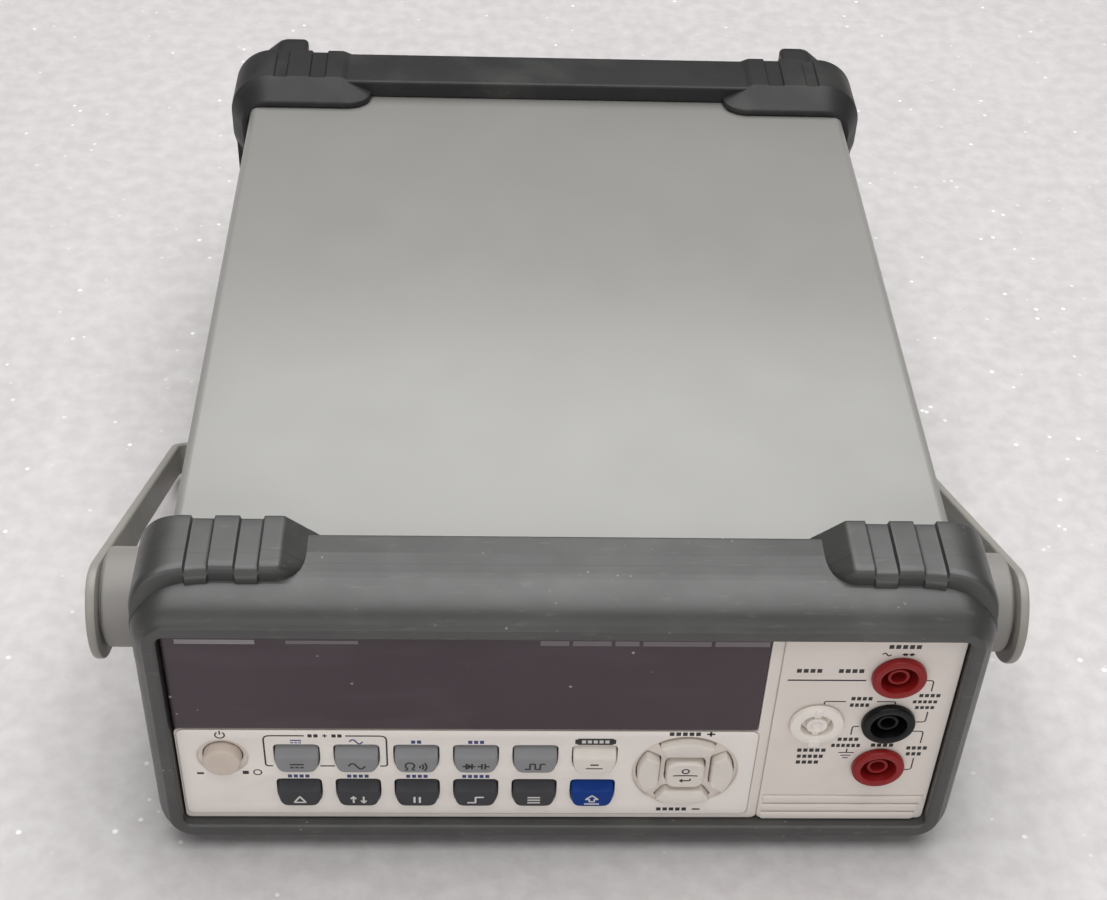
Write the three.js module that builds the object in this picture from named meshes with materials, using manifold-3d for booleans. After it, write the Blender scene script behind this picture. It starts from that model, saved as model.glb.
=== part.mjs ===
// Bench digital multimeter in a half-rack case with elastomer bumpers and a strap handle.
// Millimetres. X to the right, Y back from the front bumper's face, Z up from the bench.
import * as THREE from 'three';
import { mergeVertices } from 'three/addons/utils/BufferGeometryUtils.js';
import Module from 'manifold-3d';

const wasm = await Module();
wasm.setup();

// ---- driving dimensions ----------------------------------------------------------------------
const DEPTH = 302;
const GAP = 0.3;
const CASE = { half: 107.3, bottom: 12.6, top: 98, front: 8, rear: 276, wall: 1, radius: 3 };
const BUMPER = { half: 115.6, side: 113.8, bottom: 4.5, top: 102, lobeTop: 107, radius: 13 };
const FRONT = { rear: 28.3, lobeFront: 10.8, lobeRear: 30.6, lobeInner: 70, lip: 7.7 };
const REAR = { front: 260, lobeFront: 251, rear: 280.5, lobeInner: 68, lip: 276.3, lobeTop: 105.5 };
const CHANNELS = [[93.8, 99.8], [80.7, 86.9]];
const CHANNEL_DEPTH = 1.2;
const PEG = { centre: 98, half: 8, height: 15, top: 98, bottom: 9 };
const PANEL = { half: 107, bottom: 12.3, top: 90.5, front: 3, rear: 6.2, seam: 58, windowSill: 51.3 };
const WINDOW = { left: -106.8, right: 54.4, bottom: 51.6, rear: 5.2 };
const BACKING = { front: 5.5, rear: 7.7 };
const KEY = { width: 12.1, height: 10, pitch: 16.66, firstX: -73.7, travel: 0.8, flangeFront: 6.6, flangeRear: 7.4 };
const KEY_ROWS = [39.9, 24.8];
const CURSOR = { x: 35.6, z: 33.9, recess: 15, outer: 13.6, inner: 7.4, centre: 10.8 };
const POWER = { x: -94.4, z: 39.8, radius: 5.35, recess: 7.15, flange: 6.4, rodEnd: 62 };
const JACK = { x: 90.3, flange: 7.45, body: 6, bore: 4.6, tube: 3.3, length: 30 };
const JACKS = { volts: 74.85, common: 55.8, amps: 36.75 };
const FUSE = { x: 70.4, z: 55.4, flange: 7.5, body: 6.6, cap: 4.95, radius: 3.15 };
const HUB = { y: 43, z: 62, boss: 14.4, disc: 17.8, bossEnd: 127.4, bore: 5.3, shank: 4.9 };
const HANDLE = { tilt: 27.6, outer: 132.5, inner: 129.7, reach: 134.5, low: 1.8, high: 12.6, bend: 6 };
const BOARD = { bottom: 20, top: 21.6, front: 20, rear: 262 };
const TRAY = { half: 105.3, bottom: 14.4, sheet: 1, front: 12.6, rear: 272.5, wall: 74 };
const REAR_PANEL = { front: 273, rear: 274.4, half: 105.4, bottom: 14.4, top: 96.2 };
const INLET = { x: 62, z: 50, width: 27, height: 34, front: 250, flange: 277 };
const ROUND = 24;

const PAINT = { color: 0xbcbab3, roughness: 0.5, metalness: 0.1 };
const RUBBER = { color: 0x5f5e5c, roughness: 0.85, metalness: 0 };
const PALE = { color: 0xcfc8c0, roughness: 0.5, metalness: 0 };
const DARK = { color: 0x4a4a4c, roughness: 0.55, metalness: 0 };
const GREY = { color: 0x8c8c8e, roughness: 0.55, metalness: 0 };
const BLUE = { color: 0x1b3f8f, roughness: 0.5, metalness: 0 };
const RED = { color: 0xa62a2c, roughness: 0.4, metalness: 0 };
const BLACK = { color: 0x232324, roughness: 0.45, metalness: 0 };
const WHITE = { color: 0xe6e2dc, roughness: 0.4, metalness: 0 };
const SMOKE = { color: 0x3a3036, roughness: 0.15, metalness: 0 };
const STEEL = { color: 0xa9a9a6, roughness: 0.35, metalness: 1 };
const BRASS = { color: 0xb59a5a, roughness: 0.3, metalness: 1 };
const LAMINATE = { color: 0x2f6b45, roughness: 0.6, metalness: 0 };

// ---- helpers -----------------------------------------------------------------------------------
const root = new THREE.Group();
root.position.y = -DEPTH / 2;

function addPiece(name, geometry, finish) {
  const mesh = new THREE.Mesh(geometry, new THREE.MeshStandardMaterial(finish));
  mesh.name = name;
  root.add(mesh);
  return mesh;
}

// A closed geometry with its shared corners merged, as a solid for cutting and joining.
function solidOf(geometry) {
  const bare = geometry.clone();
  bare.deleteAttribute('normal');
  bare.deleteAttribute('uv');
  const merged = mergeVertices(bare, 1e-4);
  const index = merged.index.array;
  const triVerts = [];
  for (let i = 0; i < index.length; i += 3) {
    const [a, b, c] = [index[i], index[i + 1], index[i + 2]];
    if (a !== b && b !== c && c !== a) triVerts.push(a, b, c);
  }
  return new wasm.Manifold(new wasm.Mesh({
    numProp: 3,
    vertProperties: new Float32Array(merged.attributes.position.array),
    triVerts: new Uint32Array(triVerts),
  }));
}

function geometryOf(solid) {
  const { vertProperties, triVerts } = solid.getMesh();
  const geometry = new THREE.BufferGeometry();
  geometry.setAttribute('position', new THREE.BufferAttribute(vertProperties, 3));
  geometry.setIndex(new THREE.BufferAttribute(triVerts, 1));
  geometry.computeVertexNormals();
  return geometry;
}

function join(...geometries) {
  return geometryOf(geometries.map(solidOf).reduce((sum, solid) => sum.add(solid)));
}

function cut(geometry, ...tools) {
  return geometryOf(tools.map(solidOf).reduce((rest, tool) => rest.subtract(tool), solidOf(geometry)));
}

function common(geometry, other) {
  return geometryOf(solidOf(geometry).intersect(solidOf(other)));
}

function box(x0, x1, y0, y1, z0, z1) {
  const geometry = new THREE.BoxGeometry(x1 - x0, y1 - y0, z1 - z0);
  return geometry.translate((x0 + x1) / 2, (y0 + y1) / 2, (z0 + z1) / 2);
}

// An outline in X and Z, carried back along Y from y0 to y1.
function alongY(shape, y0, y1, curveSegments = 6) {
  const geometry = new THREE.ExtrudeGeometry(shape, { depth: y1 - y0, bevelEnabled: false, curveSegments });
  return geometry.rotateX(Math.PI / 2).translate(0, y1, 0);
}

// An outline in Y and Z, carried along X from x0 to x1.
function alongX(shape, x0, x1, curveSegments = 6) {
  const geometry = new THREE.ExtrudeGeometry(shape, { depth: x1 - x0, bevelEnabled: false, curveSegments });
  const turn = new THREE.Matrix4().makeBasis(
    new THREE.Vector3(0, 1, 0), new THREE.Vector3(0, 0, 1), new THREE.Vector3(1, 0, 0));
  return geometry.applyMatrix4(turn).translate(x0, 0, 0);
}

function polygon(points) {
  return new THREE.Shape(points.map(([x, y]) => new THREE.Vector2(x, y)));
}

function roundedRect(x0, x1, y0, y1, r) {
  const shape = new THREE.Shape();
  shape.moveTo(x0 + r, y0);
  shape.lineTo(x1 - r, y0);
  shape.absarc(x1 - r, y0 + r, r, -Math.PI / 2, 0, false);
  shape.lineTo(x1, y1 - r);
  shape.absarc(x1 - r, y1 - r, r, 0, Math.PI / 2, false);
  shape.lineTo(x0 + r, y1);
  shape.absarc(x0 + r, y1 - r, r, Math.PI / 2, Math.PI, false);
  shape.lineTo(x0, y0 + r);
  shape.absarc(x0 + r, y0 + r, r, Math.PI, Math.PI * 1.5, false);
  return shape;
}

function circle(x, z, r) {
  const shape = new THREE.Shape();
  shape.absarc(x, z, r, 0, Math.PI * 2, false);
  return shape;
}

// A profile of [radius, depth] points turned about a Y axis through (x, z). Depth runs back along Y.
function turnedY(profile, x, z, segments = ROUND) {
  const points = profile.map(([r, y]) => new THREE.Vector2(r, y));
  if (profile[0][0] > 0 || profile[profile.length - 1][0] > 0) points.push(points[0].clone());
  return new THREE.LatheGeometry(points, segments).translate(x, 0, z);
}

// The same profile turned about an X axis through (y, z). Depth runs outward from the middle.
function turnedX(profile, side, y, z, segments = ROUND) {
  const geometry = turnedY(profile, 0, 0, segments).rotateZ(-Math.PI / 2 * side);
  return geometry.translate(0, y, z);
}

// ---- case and chassis --------------------------------------------------------------------------
function caseCover() {
  const { half, bottom, top, front, rear, wall, radius } = CASE;
  const outline = roundedRect(-half, half, bottom, top, radius);
  outline.holes.push(roundedRect(-half + wall, half - wall, bottom + wall, top - wall, radius - wall));
  const sleeve = alongY(outline, front, rear, 4);
  const pivotHole = alongX(circle(HUB.y, HUB.z, HUB.bore), -half - 1, half + 1, 8);
  return cut(sleeve, pivotHole);
}

function chassisTray() {
  const { half, bottom, sheet, front, rear, wall } = TRAY;
  const section = polygon([
    [-half, bottom], [half, bottom], [half, wall], [half - sheet, wall],
    [half - sheet, bottom + sheet], [-half + sheet, bottom + sheet], [-half + sheet, wall], [-half, wall],
  ]);
  const pivotHole = alongX(circle(HUB.y, HUB.z, HUB.bore), -half - 1, half + 1, 8);
  return cut(alongY(section, front, rear), pivotHole);
}

// ---- bumpers -----------------------------------------------------------------------------------
// Four corner lobes: a rounded block round the whole section, less its middle and its sides.
function cornerLobes(y0, y1, top, inner) {
  const block = alongY(roundedRect(-BUMPER.half, BUMPER.half, 0, top, BUMPER.radius + 2), y0, y1);
  const middle = box(-inner, inner, y0 - 1, y1 + 1, -1, top + 1);
  const sides = box(-BUMPER.half - 1, BUMPER.half + 1, y0 - 1, y1 + 1, 30, 77);
  return cut(block, middle, sides);
}

function frontBumper() {
  const { rear, lobeFront, lobeRear, lobeInner, lip } = FRONT;
  const { side, bottom, top, radius } = BUMPER;
  const ring = alongY(roundedRect(-side, side, bottom, top, radius), 0, rear);
  const brow = alongX(polygon([[-1, 96.5], [2, 96.5], [4, 99.5], [8, 102.5], [-1, 103]]), -side, side);
  const body = join(cut(ring, brow), cornerLobes(lobeFront, lobeRear, BUMPER.lobeTop, lobeInner));
  const mouth = roundedRect(-PANEL.half - GAP, PANEL.half + GAP, 12, PANEL.top + GAP, 1);
  const seat = roundedRect(-CASE.half - GAP, CASE.half + GAP, CASE.bottom - GAP, CASE.top + GAP, 3);
  const channels = [];
  for (const side of [-1, 1]) {
    for (const [near, far] of CHANNELS) {
      const [x0, x1] = side > 0 ? [near, far] : [-far, -near];
      channels.push(box(x0, x1, 6, 32, BUMPER.lobeTop - CHANNEL_DEPTH, BUMPER.lobeTop + 1));
    }
  }
  return cut(body, alongY(mouth, -1, lip + 1, 3), alongY(seat, lip, lobeRear + 1, 3), ...channels);
}

function rearBumper() {
  const { front, lobeFront, rear, lobeInner, lip, lobeTop } = REAR;
  const { side, bottom, radius } = BUMPER;
  const ring = alongY(roundedRect(-side, side, bottom, 104.5, radius), front, rear);
  const ramp = alongX(polygon([[lobeFront - 1, 100.5], [lobeFront, 100.5], [262, 106], [lobeFront - 1, 108]]),
    -BUMPER.half - 1, BUMPER.half + 1);
  const lobes = cut(cornerLobes(lobeFront, rear, lobeTop, lobeInner), ramp);
  const pegs = [];
  for (const side of [-1, 1]) {
    for (const low of [PEG.bottom, PEG.top - PEG.height]) {
      const [x0, x1] = [side * PEG.centre - PEG.half, side * PEG.centre + PEG.half];
      pegs.push(alongY(roundedRect(x0, x1, low, low + PEG.height, 4), rear - 2, DEPTH, 3));
    }
  }
  const seat = roundedRect(-CASE.half - GAP, CASE.half + GAP, CASE.bottom - GAP, CASE.top + GAP, 3);
  const window = roundedRect(-87, 87, 22, 89, 4);
  return cut(join(ring, lobes, ...pegs), alongY(seat, lobeFront - 1, lip, 3), alongY(window, lip - 1, rear + 1, 3));
}

// ---- fascia ------------------------------------------------------------------------------------
// A key's outline: straight across the top, sides drawn in towards a rounded bottom.
function keyOutline(x, z, grow) {
  const w = KEY.width / 2 + grow;
  const top = z + KEY.height / 2 + grow;
  const bottom = z - KEY.height / 2 - grow;
  const shape = new THREE.Shape();
  shape.moveTo(x - w + 1.2, top);
  shape.lineTo(x + w - 1.2, top);
  shape.quadraticCurveTo(x + w, top, x + w, top - 1.2);
  shape.lineTo(x + w, z);
  shape.quadraticCurveTo(x + w - 0.6, bottom, x + w - 3, bottom);
  shape.lineTo(x - w + 3, bottom);
  shape.quadraticCurveTo(x - w + 0.6, bottom, x - w, z);
  shape.lineTo(x - w, top - 1.2);
  shape.quadraticCurveTo(x - w, top, x - w + 1.2, top);
  return shape;
}

// A cursor key's outline: an arc outside, a chord inside, turned to its place round the pad.
function cursorOutline(quarter, grow) {
  const outer = CURSOR.outer + grow;
  const spread = THREE.MathUtils.degToRad(35) + grow / outer;
  const start = Math.PI / 2 - spread + quarter * Math.PI / 2;
  const end = Math.PI / 2 + spread + quarter * Math.PI / 2;
  const chord = new THREE.Vector2(0, CURSOR.inner - grow);
  const across = 5.4 + grow;
  const corners = [[-across, chord.y], [across, chord.y]].map(([x, y]) => {
    return new THREE.Vector2(x, y).rotateAround(new THREE.Vector2(), quarter * Math.PI / 2);
  });
  const shape = new THREE.Shape();
  shape.moveTo(CURSOR.x + corners[0].x, CURSOR.z + corners[0].y);
  shape.lineTo(CURSOR.x + corners[1].x, CURSOR.z + corners[1].y);
  shape.absarc(CURSOR.x, CURSOR.z, outer, start, end, false);
  return shape;
}

function centreOutline(grow) {
  const half = CURSOR.centre / 2 + grow;
  return roundedRect(CURSOR.x - half, CURSOR.x + half, CURSOR.z - half, CURSOR.z + half, 3);
}

function keyPlaces() {
  const places = [];
  for (const z of KEY_ROWS) {
    for (let i = 0; i < 6; i++) places.push([KEY.firstX + i * KEY.pitch, z]);
  }
  return places;
}

function frontPanel() {
  const { half, bottom, top, front, rear, seam, windowSill } = PANEL;
  const lower = alongY(roundedRect(-half, seam - 0.2, bottom, windowSill, 1.5), front, rear, 3);
  const mullion = box(WINDOW.right + GAP, seam - 0.2, front, rear, bottom + 4, top);
  const backing = box(-half + 0.6, seam - 0.2, BACKING.front, BACKING.rear, windowSill - 2, top);
  const opening = box(-97, 42, BACKING.front - 1, BACKING.rear + 1, 57, 85);
  const holes = keyPlaces().map(([x, z]) => alongY(keyOutline(x, z, 0.35), front - 1, rear + 1, 4));
  for (let quarter = 0; quarter < 4; quarter++) {
    holes.push(alongY(cursorOutline(quarter, 0.35), front - 1, rear + 1, 5));
  }
  holes.push(alongY(centreOutline(0.35), front - 1, rear + 1, 3));
  holes.push(alongY(circle(CURSOR.x, CURSOR.z, CURSOR.recess), front - 1, front + 0.7, 16));
  holes.push(alongY(circle(POWER.x, POWER.z, POWER.recess), front - 1, front + 0.7, 12));
  holes.push(alongY(circle(POWER.x, POWER.z, POWER.radius + 0.35), front - 1, rear + 1, 12));
  return cut(join(lower, mullion, backing), opening, ...holes);
}

function terminalPanel() {
  const { half, bottom, top, front, rear, seam } = PANEL;
  const plate = alongY(roundedRect(seam + 0.2, half, bottom, top, 1.5), front, rear, 3);
  const tools = Object.values(JACKS).map((z) => alongY(circle(JACK.x, z, JACK.body + 0.35), front - 1, rear + 1, 12));
  tools.push(alongY(circle(FUSE.x, FUSE.z, FUSE.body + 0.35), front - 1, rear + 1, 12));
  for (const z of [23, 19.3, 15.6]) tools.push(box(seam - 1, half + 1, front - 1, front + 0.6, z - 0.4, z + 0.4));
  return cut(plate, ...tools);
}

function displayWindow() {
  const outline = roundedRect(WINDOW.left, WINDOW.right, WINDOW.bottom, PANEL.top, 1);
  return alongY(outline, PANEL.front, WINDOW.rear, 3);
}

// ---- keys --------------------------------------------------------------------------------------
// A key's cap slopes out from the panel at its top to stand proud at its bottom.
function functionKey(x, z) {
  const [top, bottom] = [z + KEY.height / 2, z - KEY.height / 2];
  const profile = polygon([
    [3.3, top], [7, top], [7, bottom], [1.7, bottom], [1.2, bottom + 0.8], [1.3, z - 1], [1.8, z + 1.6], [2.5, top - 1],
  ]);
  const cap = common(alongY(keyOutline(x, z, 0), 0, 7, 4), alongX(profile, x - 8, x + 8));
  const flange = box(x - 6.6, x + 6.6, KEY.flangeFront, KEY.flangeRear, z - 5.5, z + 5.5);
  return join(cap, flange);
}

function cursorKey(quarter) {
  const cap = alongY(cursorOutline(quarter, 0), 1.8, 7, 5);
  return join(cap, alongY(cursorOutline(quarter, 0.6), KEY.flangeFront, KEY.flangeRear, 5));
}

function enterKey() {
  return join(alongY(centreOutline(0), 1.4, 7, 4), alongY(centreOutline(0.6), KEY.flangeFront, KEY.flangeRear, 4));
}

function powerButton() {
  const { x, z, radius, flange } = POWER;
  const profile = [[0, 0], [radius - 0.8, 0], [radius, 0.8], [radius, 7.5], [flange, 7.5], [flange, 8.7], [0, 8.7]];
  return turnedY(profile, x, z);
}

function powerRod() {
  const { x, z, rodEnd } = POWER;
  return box(x - 2, x + 2, 9, rodEnd, z - 2, z + 2);
}

function powerSwitch() {
  const { x, z, rodEnd } = POWER;
  return box(x - 7, x + 7, rodEnd + 2.8, rodEnd + 28, z - 17, z + 7);
}

function keypadMat() {
  const domes = keyPlaces().map(([x, z]) => turnedY([[0, 8.5], [2.5, 8.5], [3.2, 9.3], [0, 9.3]], x, z, 12));
  for (let quarter = 0; quarter < 4; quarter++) {
    const at = new THREE.Vector2(0, 10.4).rotateAround(new THREE.Vector2(), quarter * Math.PI / 2);
    domes.push(turnedY([[0, 8.5], [2, 8.5], [2.6, 9.3], [0, 9.3]], CURSOR.x + at.x, CURSOR.z + at.y, 12));
  }
  domes.push(turnedY([[0, 8.5], [2.5, 8.5], [3.2, 9.3], [0, 9.3]], CURSOR.x, CURSOR.z, 12));
  return join(box(-83, 53, 9, 10.2, 17, 49), ...domes);
}

// ---- sockets and fuse --------------------------------------------------------------------------
function safetySocket(z) {
  const { x, flange, body, bore, tube, length } = JACK;
  const profile = [
    [bore, 0.9], [flange - 0.6, 0.9], [flange, 1.6], [flange, 2.7], [body, 2.7], [body, length],
    [2.6, length], [2.6, 2.4], [tube, 2.4], [tube, 26], [bore, 26],
  ];
  return turnedY(profile, x, z);
}

function socketContact(z) {
  return turnedY([[0, 32], [2, 32], [2, 4], [2.3, 4], [2.3, 38], [0, 38]], JACK.x, z, 20);
}

function fuseHolder() {
  const { x, z, flange, body } = FUSE;
  const profile = [
    [5.3, 1.2], [flange - 0.5, 1.2], [flange, 1.8], [flange, 2.7], [body, 2.7], [body, 46], [0, 46],
    [0, 44], [3.8, 44], [3.8, 14], [5.3, 14],
  ];
  const closed = profile.slice(7).concat(profile.slice(0, 7));
  return turnedY(closed, x, z);
}

function fuseCap() {
  const { x, z, cap } = FUSE;
  const profile = [[0, 1.6], [2.3, 1.6], [2.3, 2.8], [3.7, 2.8], [3.7, 1.6], [cap, 1.6], [cap, 12.2],
    [3.5, 12.2], [3.5, 8.2], [0, 8.2]];
  return cut(turnedY(profile, x, z), box(x - 0.6, x + 0.6, 1, 2.6, z - 4.3, z + 4.3));
}

function currentFuse() {
  const { x, z, radius } = FUSE;
  const glass = radius - 0.25;
  const profile = [[0, 8.5], [radius, 8.5], [radius, 14.5], [glass, 14.5], [glass, 34], [radius, 34], [radius, 40], [0, 40]];
  return turnedY(profile, x, z, 20);
}

// ---- inside ------------------------------------------------------------------------------------
function shieldCan() {
  const outer = box(-20, 60, 70, 160, 21.9, 46);
  return cut(outer, box(-19.2, 59.2, 70.8, 159.2, 20, 45.2));
}

function mainsTransformer() {
  const core = box(-96, -50, 200, 252, 30, 66);
  const winding = box(-90, -56, 192, 260, 34, 62);
  const feet = box(-96, -50, 214, 238, 21.9, 31);
  return join(core, winding, feet);
}

function ribbonCable() {
  const drop = polygon([
    [13.4, 58], [14.2, 58.8], [17, 56], [19.5, 40], [22, 28], [26, 23.2], [34, 22.9], [34, 21.9], [25.6, 22.1],
    [21.2, 27.4], [18.6, 40], [16.2, 55.4],
  ]);
  return alongX(drop, -60, -28);
}

// ---- back --------------------------------------------------------------------------------------
function rearPanel() {
  const { front, rear, half, bottom, top } = REAR_PANEL;
  const { x, z, width, height } = INLET;
  const plate = box(-half, half, front, rear, bottom, top);
  const [w, h] = [width / 2 + GAP, height / 2 + GAP];
  return cut(plate,
    box(x - w, x + w, front - 1, rear + 1, z - h, z + h),
    box(-6.6, 6.6, front - 1, rear + 1, 31.4, 43.6),
    box(-40.6, -23.4, front - 1, rear + 1, 31.2, 46.3),
    alongY(circle(-58, 40, 5.3), front - 1, rear + 1, 10),
    alongY(circle(-76, 40, 5.3), front - 1, rear + 1, 10),
    alongY(circle(-70, 80, 2), front - 1, rear + 1, 6),
    alongY(circle(70, 80, 2), front - 1, rear + 1, 6));
}

// Mains inlet: a flanged body with the socket above and the fuse drawer's pocket below it.
function mainsInlet() {
  const { x, z, width, height, front, flange } = INLET;
  const body = box(x - width / 2, x + width / 2, front, flange, z - height / 2, z + height / 2);
  const rim = box(x - 15.5, x + 15.5, REAR_PANEL.rear + GAP, flange, z - 19, z + 19);
  const socket = alongY(polygon([
    [x - 12, z - 3], [x + 12, z - 3], [x + 12, z + 10], [x + 8, z + 14], [x - 8, z + 14], [x - 12, z + 10],
  ]), 260, flange + 1);
  const pocket = box(x - 12, x + 12, 257, flange + 1, z - 14, z - 6);
  const blade = (dx, dz) => box(x + dx - 1, x + dx + 1, 258, 274, z + dz - 2.2, z + dz + 2.2);
  return join(cut(join(body, rim), socket, pocket), blade(-7, 3.6), blade(7, 3.6), blade(0, 8.6));
}

function mainsFuseDrawer() {
  const { x, z, flange } = INLET;
  const slide = box(x - 11.6, x + 11.6, 258, flange + 1, z - 13.6, z - 6.4);
  const face = box(x - 13, x + 13, flange + GAP, flange + 1.9, z - 15, z - 5);
  const well = box(x - 9.5, x + 9.5, 260, 274, z - 11.6, z - 5);
  return cut(join(slide, face), well);
}

function shellPort(x0, x1, z0, z1, wall) {
  const { front, rear } = REAR_PANEL;
  const shell = box(x0, x1, front - 14, rear + 1.2, z0, z1);
  return cut(shell, box(x0 + wall, x1 - wall, front - 12, rear + 2, z0 + wall, z1 - wall));
}

function triggerSocket(x) {
  const profile = [[0, 262], [5, 262], [5, 282], [4, 282], [4, 268], [1.2, 268], [1.2, 279], [0, 279]];
  return turnedY(profile, x, 40, 20);
}

function panScrew(x, z) {
  return turnedY([[0, 277], [2.2, 276.6], [3.4, 275.4], [3.4, 274.7], [1.6, 274.7], [1.6, 266], [0, 266]].reverse(), x, z, 14);
}

// ---- handle ------------------------------------------------------------------------------------
// The handle's own frame has its origin on the pivot axis: Y out along the arms, Z across the strap.
function carryHandle() {
  const { outer, inner, reach, low, high, bend } = HANDLE;
  const thick = outer - inner;
  const bail = new THREE.Shape();
  bail.moveTo(-outer, 10);
  bail.lineTo(-inner, 10);
  bail.lineTo(-inner, reach - bend);
  bail.absarc(-inner + bend - thick, reach - bend, bend - thick, Math.PI, Math.PI / 2, true);
  bail.lineTo(inner - bend + thick, reach - thick);
  bail.absarc(inner - bend + thick, reach - bend, bend - thick, Math.PI / 2, 0, true);
  bail.lineTo(inner, 10);
  bail.lineTo(outer, 10);
  bail.lineTo(outer, reach - bend);
  bail.absarc(outer - bend, reach - bend, bend, 0, Math.PI / 2, false);
  bail.lineTo(-outer + bend, reach);
  bail.absarc(-outer + bend, reach - bend, bend, Math.PI / 2, Math.PI, false);
  const strap = new THREE.ExtrudeGeometry(bail, { depth: high - low, bevelEnabled: false, curveSegments: 5 });
  const shoulder = Math.asin(high / HUB.disc);
  const heel = THREE.MathUtils.degToRad(-38);
  const cheek = new THREE.Shape();
  cheek.moveTo(62, low);
  cheek.lineTo(62, high);
  cheek.lineTo(HUB.disc * Math.cos(shoulder), high);
  cheek.absarc(0, 0, HUB.disc, shoulder, heel + Math.PI * 2, false);
  cheek.quadraticCurveTo(28, low - 2, 62, low);
  const pieces = [strap.translate(0, 0, low)];
  const holes = [];
  for (const side of [-1, 1]) {
    const [x0, x1] = side > 0 ? [inner, outer] : [-outer, -inner];
    pieces.push(alongX(cheek, x0, x1, 12));
    pieces.push(turnedX([[0, inner - 1.8], [12, inner - 1.8], [12, inner + 1], [0, inner + 1]], side, 0, 0));
    holes.push(turnedX([[0, inner - 3], [HUB.bore, inner - 3], [HUB.bore, outer + 1], [0, outer + 1]], side, 0, 0));
    holes.push(turnedX([[0, outer - 2], [8.3, outer - 2], [8.3, outer + 1], [0, outer + 1]], side, 0, 0));
  }
  return cut(join(...pieces), ...holes);
}

function hubBoss(side) {
  const { y, z, boss, bossEnd, bore } = HUB;
  const base = CASE.half + GAP;
  const profile = [[bore, base], [boss, base], [boss, bossEnd - 1], [boss - 1, bossEnd], [bore, bossEnd]];
  return turnedX(profile, side, y, z);
}

function pivotScrew(side) {
  const { y, z, shank } = HUB;
  const head = HANDLE.outer - 0.1;
  const profile = [[0, 99], [shank, 99], [shank, head - 1.6], [8, head - 1.6], [8, head], [0, head]];
  const slot = side > 0 ? box(head - 0.8, head + 1, y - 6, y + 6, z - 0.8, z + 0.8)
    : box(-head - 1, -head + 0.8, y - 6, y + 6, z - 0.8, z + 0.8);
  return cut(turnedX(profile, side, y, z), slot);
}

// ---- assembly ----------------------------------------------------------------------------------
const KEY_NAMES = [
  'volts_dc_key', 'volts_ac_key', 'ohms_key', 'diode_key', 'frequency_key', 'second_key',
  'relative_key', 'extremes_key', 'hold_key', 'trigger_key', 'menu_key', 'shift_key',
];
const CURSOR_NAMES = ['cursor_up_key', 'cursor_left_key', 'cursor_down_key', 'cursor_right_key'];

addPiece('case_cover', caseCover(), PAINT);
addPiece('chassis_tray', chassisTray(), STEEL);
addPiece('front_bumper', frontBumper(), RUBBER);
addPiece('rear_bumper', rearBumper(), RUBBER);
addPiece('front_panel', frontPanel(), PALE);
addPiece('terminal_panel', terminalPanel(), PALE);
addPiece('display_window', displayWindow(), SMOKE);
addPiece('display_glass', box(-96, 41, 8.1, 11, 55, 87), BLACK);
addPiece('display_board', box(-100, 55, 11.3, 12.9, 52, 89), LAMINATE);

keyPlaces().forEach(([x, z], i) => {
  const finish = i === 5 ? PALE : i === 11 ? BLUE : i < 5 ? GREY : DARK;
  addPiece(KEY_NAMES[i], functionKey(x, z), finish);
});
CURSOR_NAMES.forEach((name, quarter) => addPiece(name, cursorKey(quarter), PALE));
addPiece('enter_key', enterKey(), PALE);
addPiece('keypad_mat', keypadMat(), DARK);
addPiece('key_board', box(-84, 55, 10.5, 12.1, 16, 49.6), LAMINATE);

addPiece('power_button', powerButton(), PALE);
addPiece('power_rod', powerRod(), DARK);
addPiece('power_switch', powerSwitch(), BLACK);

for (const [use, z] of Object.entries(JACKS)) {
  addPiece(`${use}_jack`, safetySocket(z), use === 'common' ? BLACK : RED);
  addPiece(`${use}_contact`, socketContact(z), BRASS);
}
addPiece('fuse_holder', fuseHolder(), WHITE);
addPiece('fuse_cap', fuseCap(), WHITE);
addPiece('current_fuse', currentFuse(), WHITE);

addPiece('main_board', box(-100, 100, BOARD.front, BOARD.rear - 14, BOARD.bottom, BOARD.top), LAMINATE);
addPiece('mains_transformer', mainsTransformer(), DARK);
const capacitor = new THREE.CylinderGeometry(11, 11, 32, 20).rotateX(Math.PI / 2);
addPiece('filter_capacitor', capacitor.translate(-24, 218, 38), BLUE);
addPiece('shield_can', shieldCan(), STEEL);
addPiece('range_relay', box(68, 92, 80, 94, 21.9, 34), WHITE);
addPiece('ribbon_cable', ribbonCable(), GREY);

addPiece('rear_panel', rearPanel(), STEEL);
addPiece('mains_inlet', mainsInlet(), BLACK);
addPiece('mains_fuse_drawer', mainsFuseDrawer(), DARK);
addPiece('usb_port', shellPort(-6, 6, 32, 43, 1.4), STEEL);
addPiece('network_port', shellPort(-40, -24, 31.8, 45.7, 1.6), STEEL);
addPiece('trigger_in_socket', triggerSocket(-58), BRASS);
addPiece('trigger_out_socket', triggerSocket(-76), BRASS);
addPiece('rear_panel_screw_left', panScrew(-70, 80), STEEL);
addPiece('rear_panel_screw_right', panScrew(70, 80), STEEL);

const handle = addPiece('carry_handle', carryHandle(), STEEL);
handle.position.set(0, HUB.y, HUB.z);
handle.rotation.x = THREE.MathUtils.degToRad(-HANDLE.tilt);
for (const [name, side] of [['left', -1], ['right', 1]]) {
  addPiece(`${name}_hub_boss`, hubBoss(side), PALE);
  addPiece(`${name}_pivot_screw`, pivotScrew(side), STEEL);
}

export default root;
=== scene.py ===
"""The looks of a bench digital multimeter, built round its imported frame.

Sizes are in millimetres. Depth runs back from the front bumper's face, and one function turns
a point into the frame's metres.
"""

from __future__ import annotations

import logging
import math
from dataclasses import dataclass, field
from enum import Enum
from typing import Callable, Iterable, Sequence

import bmesh
import bpy
from mathutils import Matrix, Vector


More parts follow.
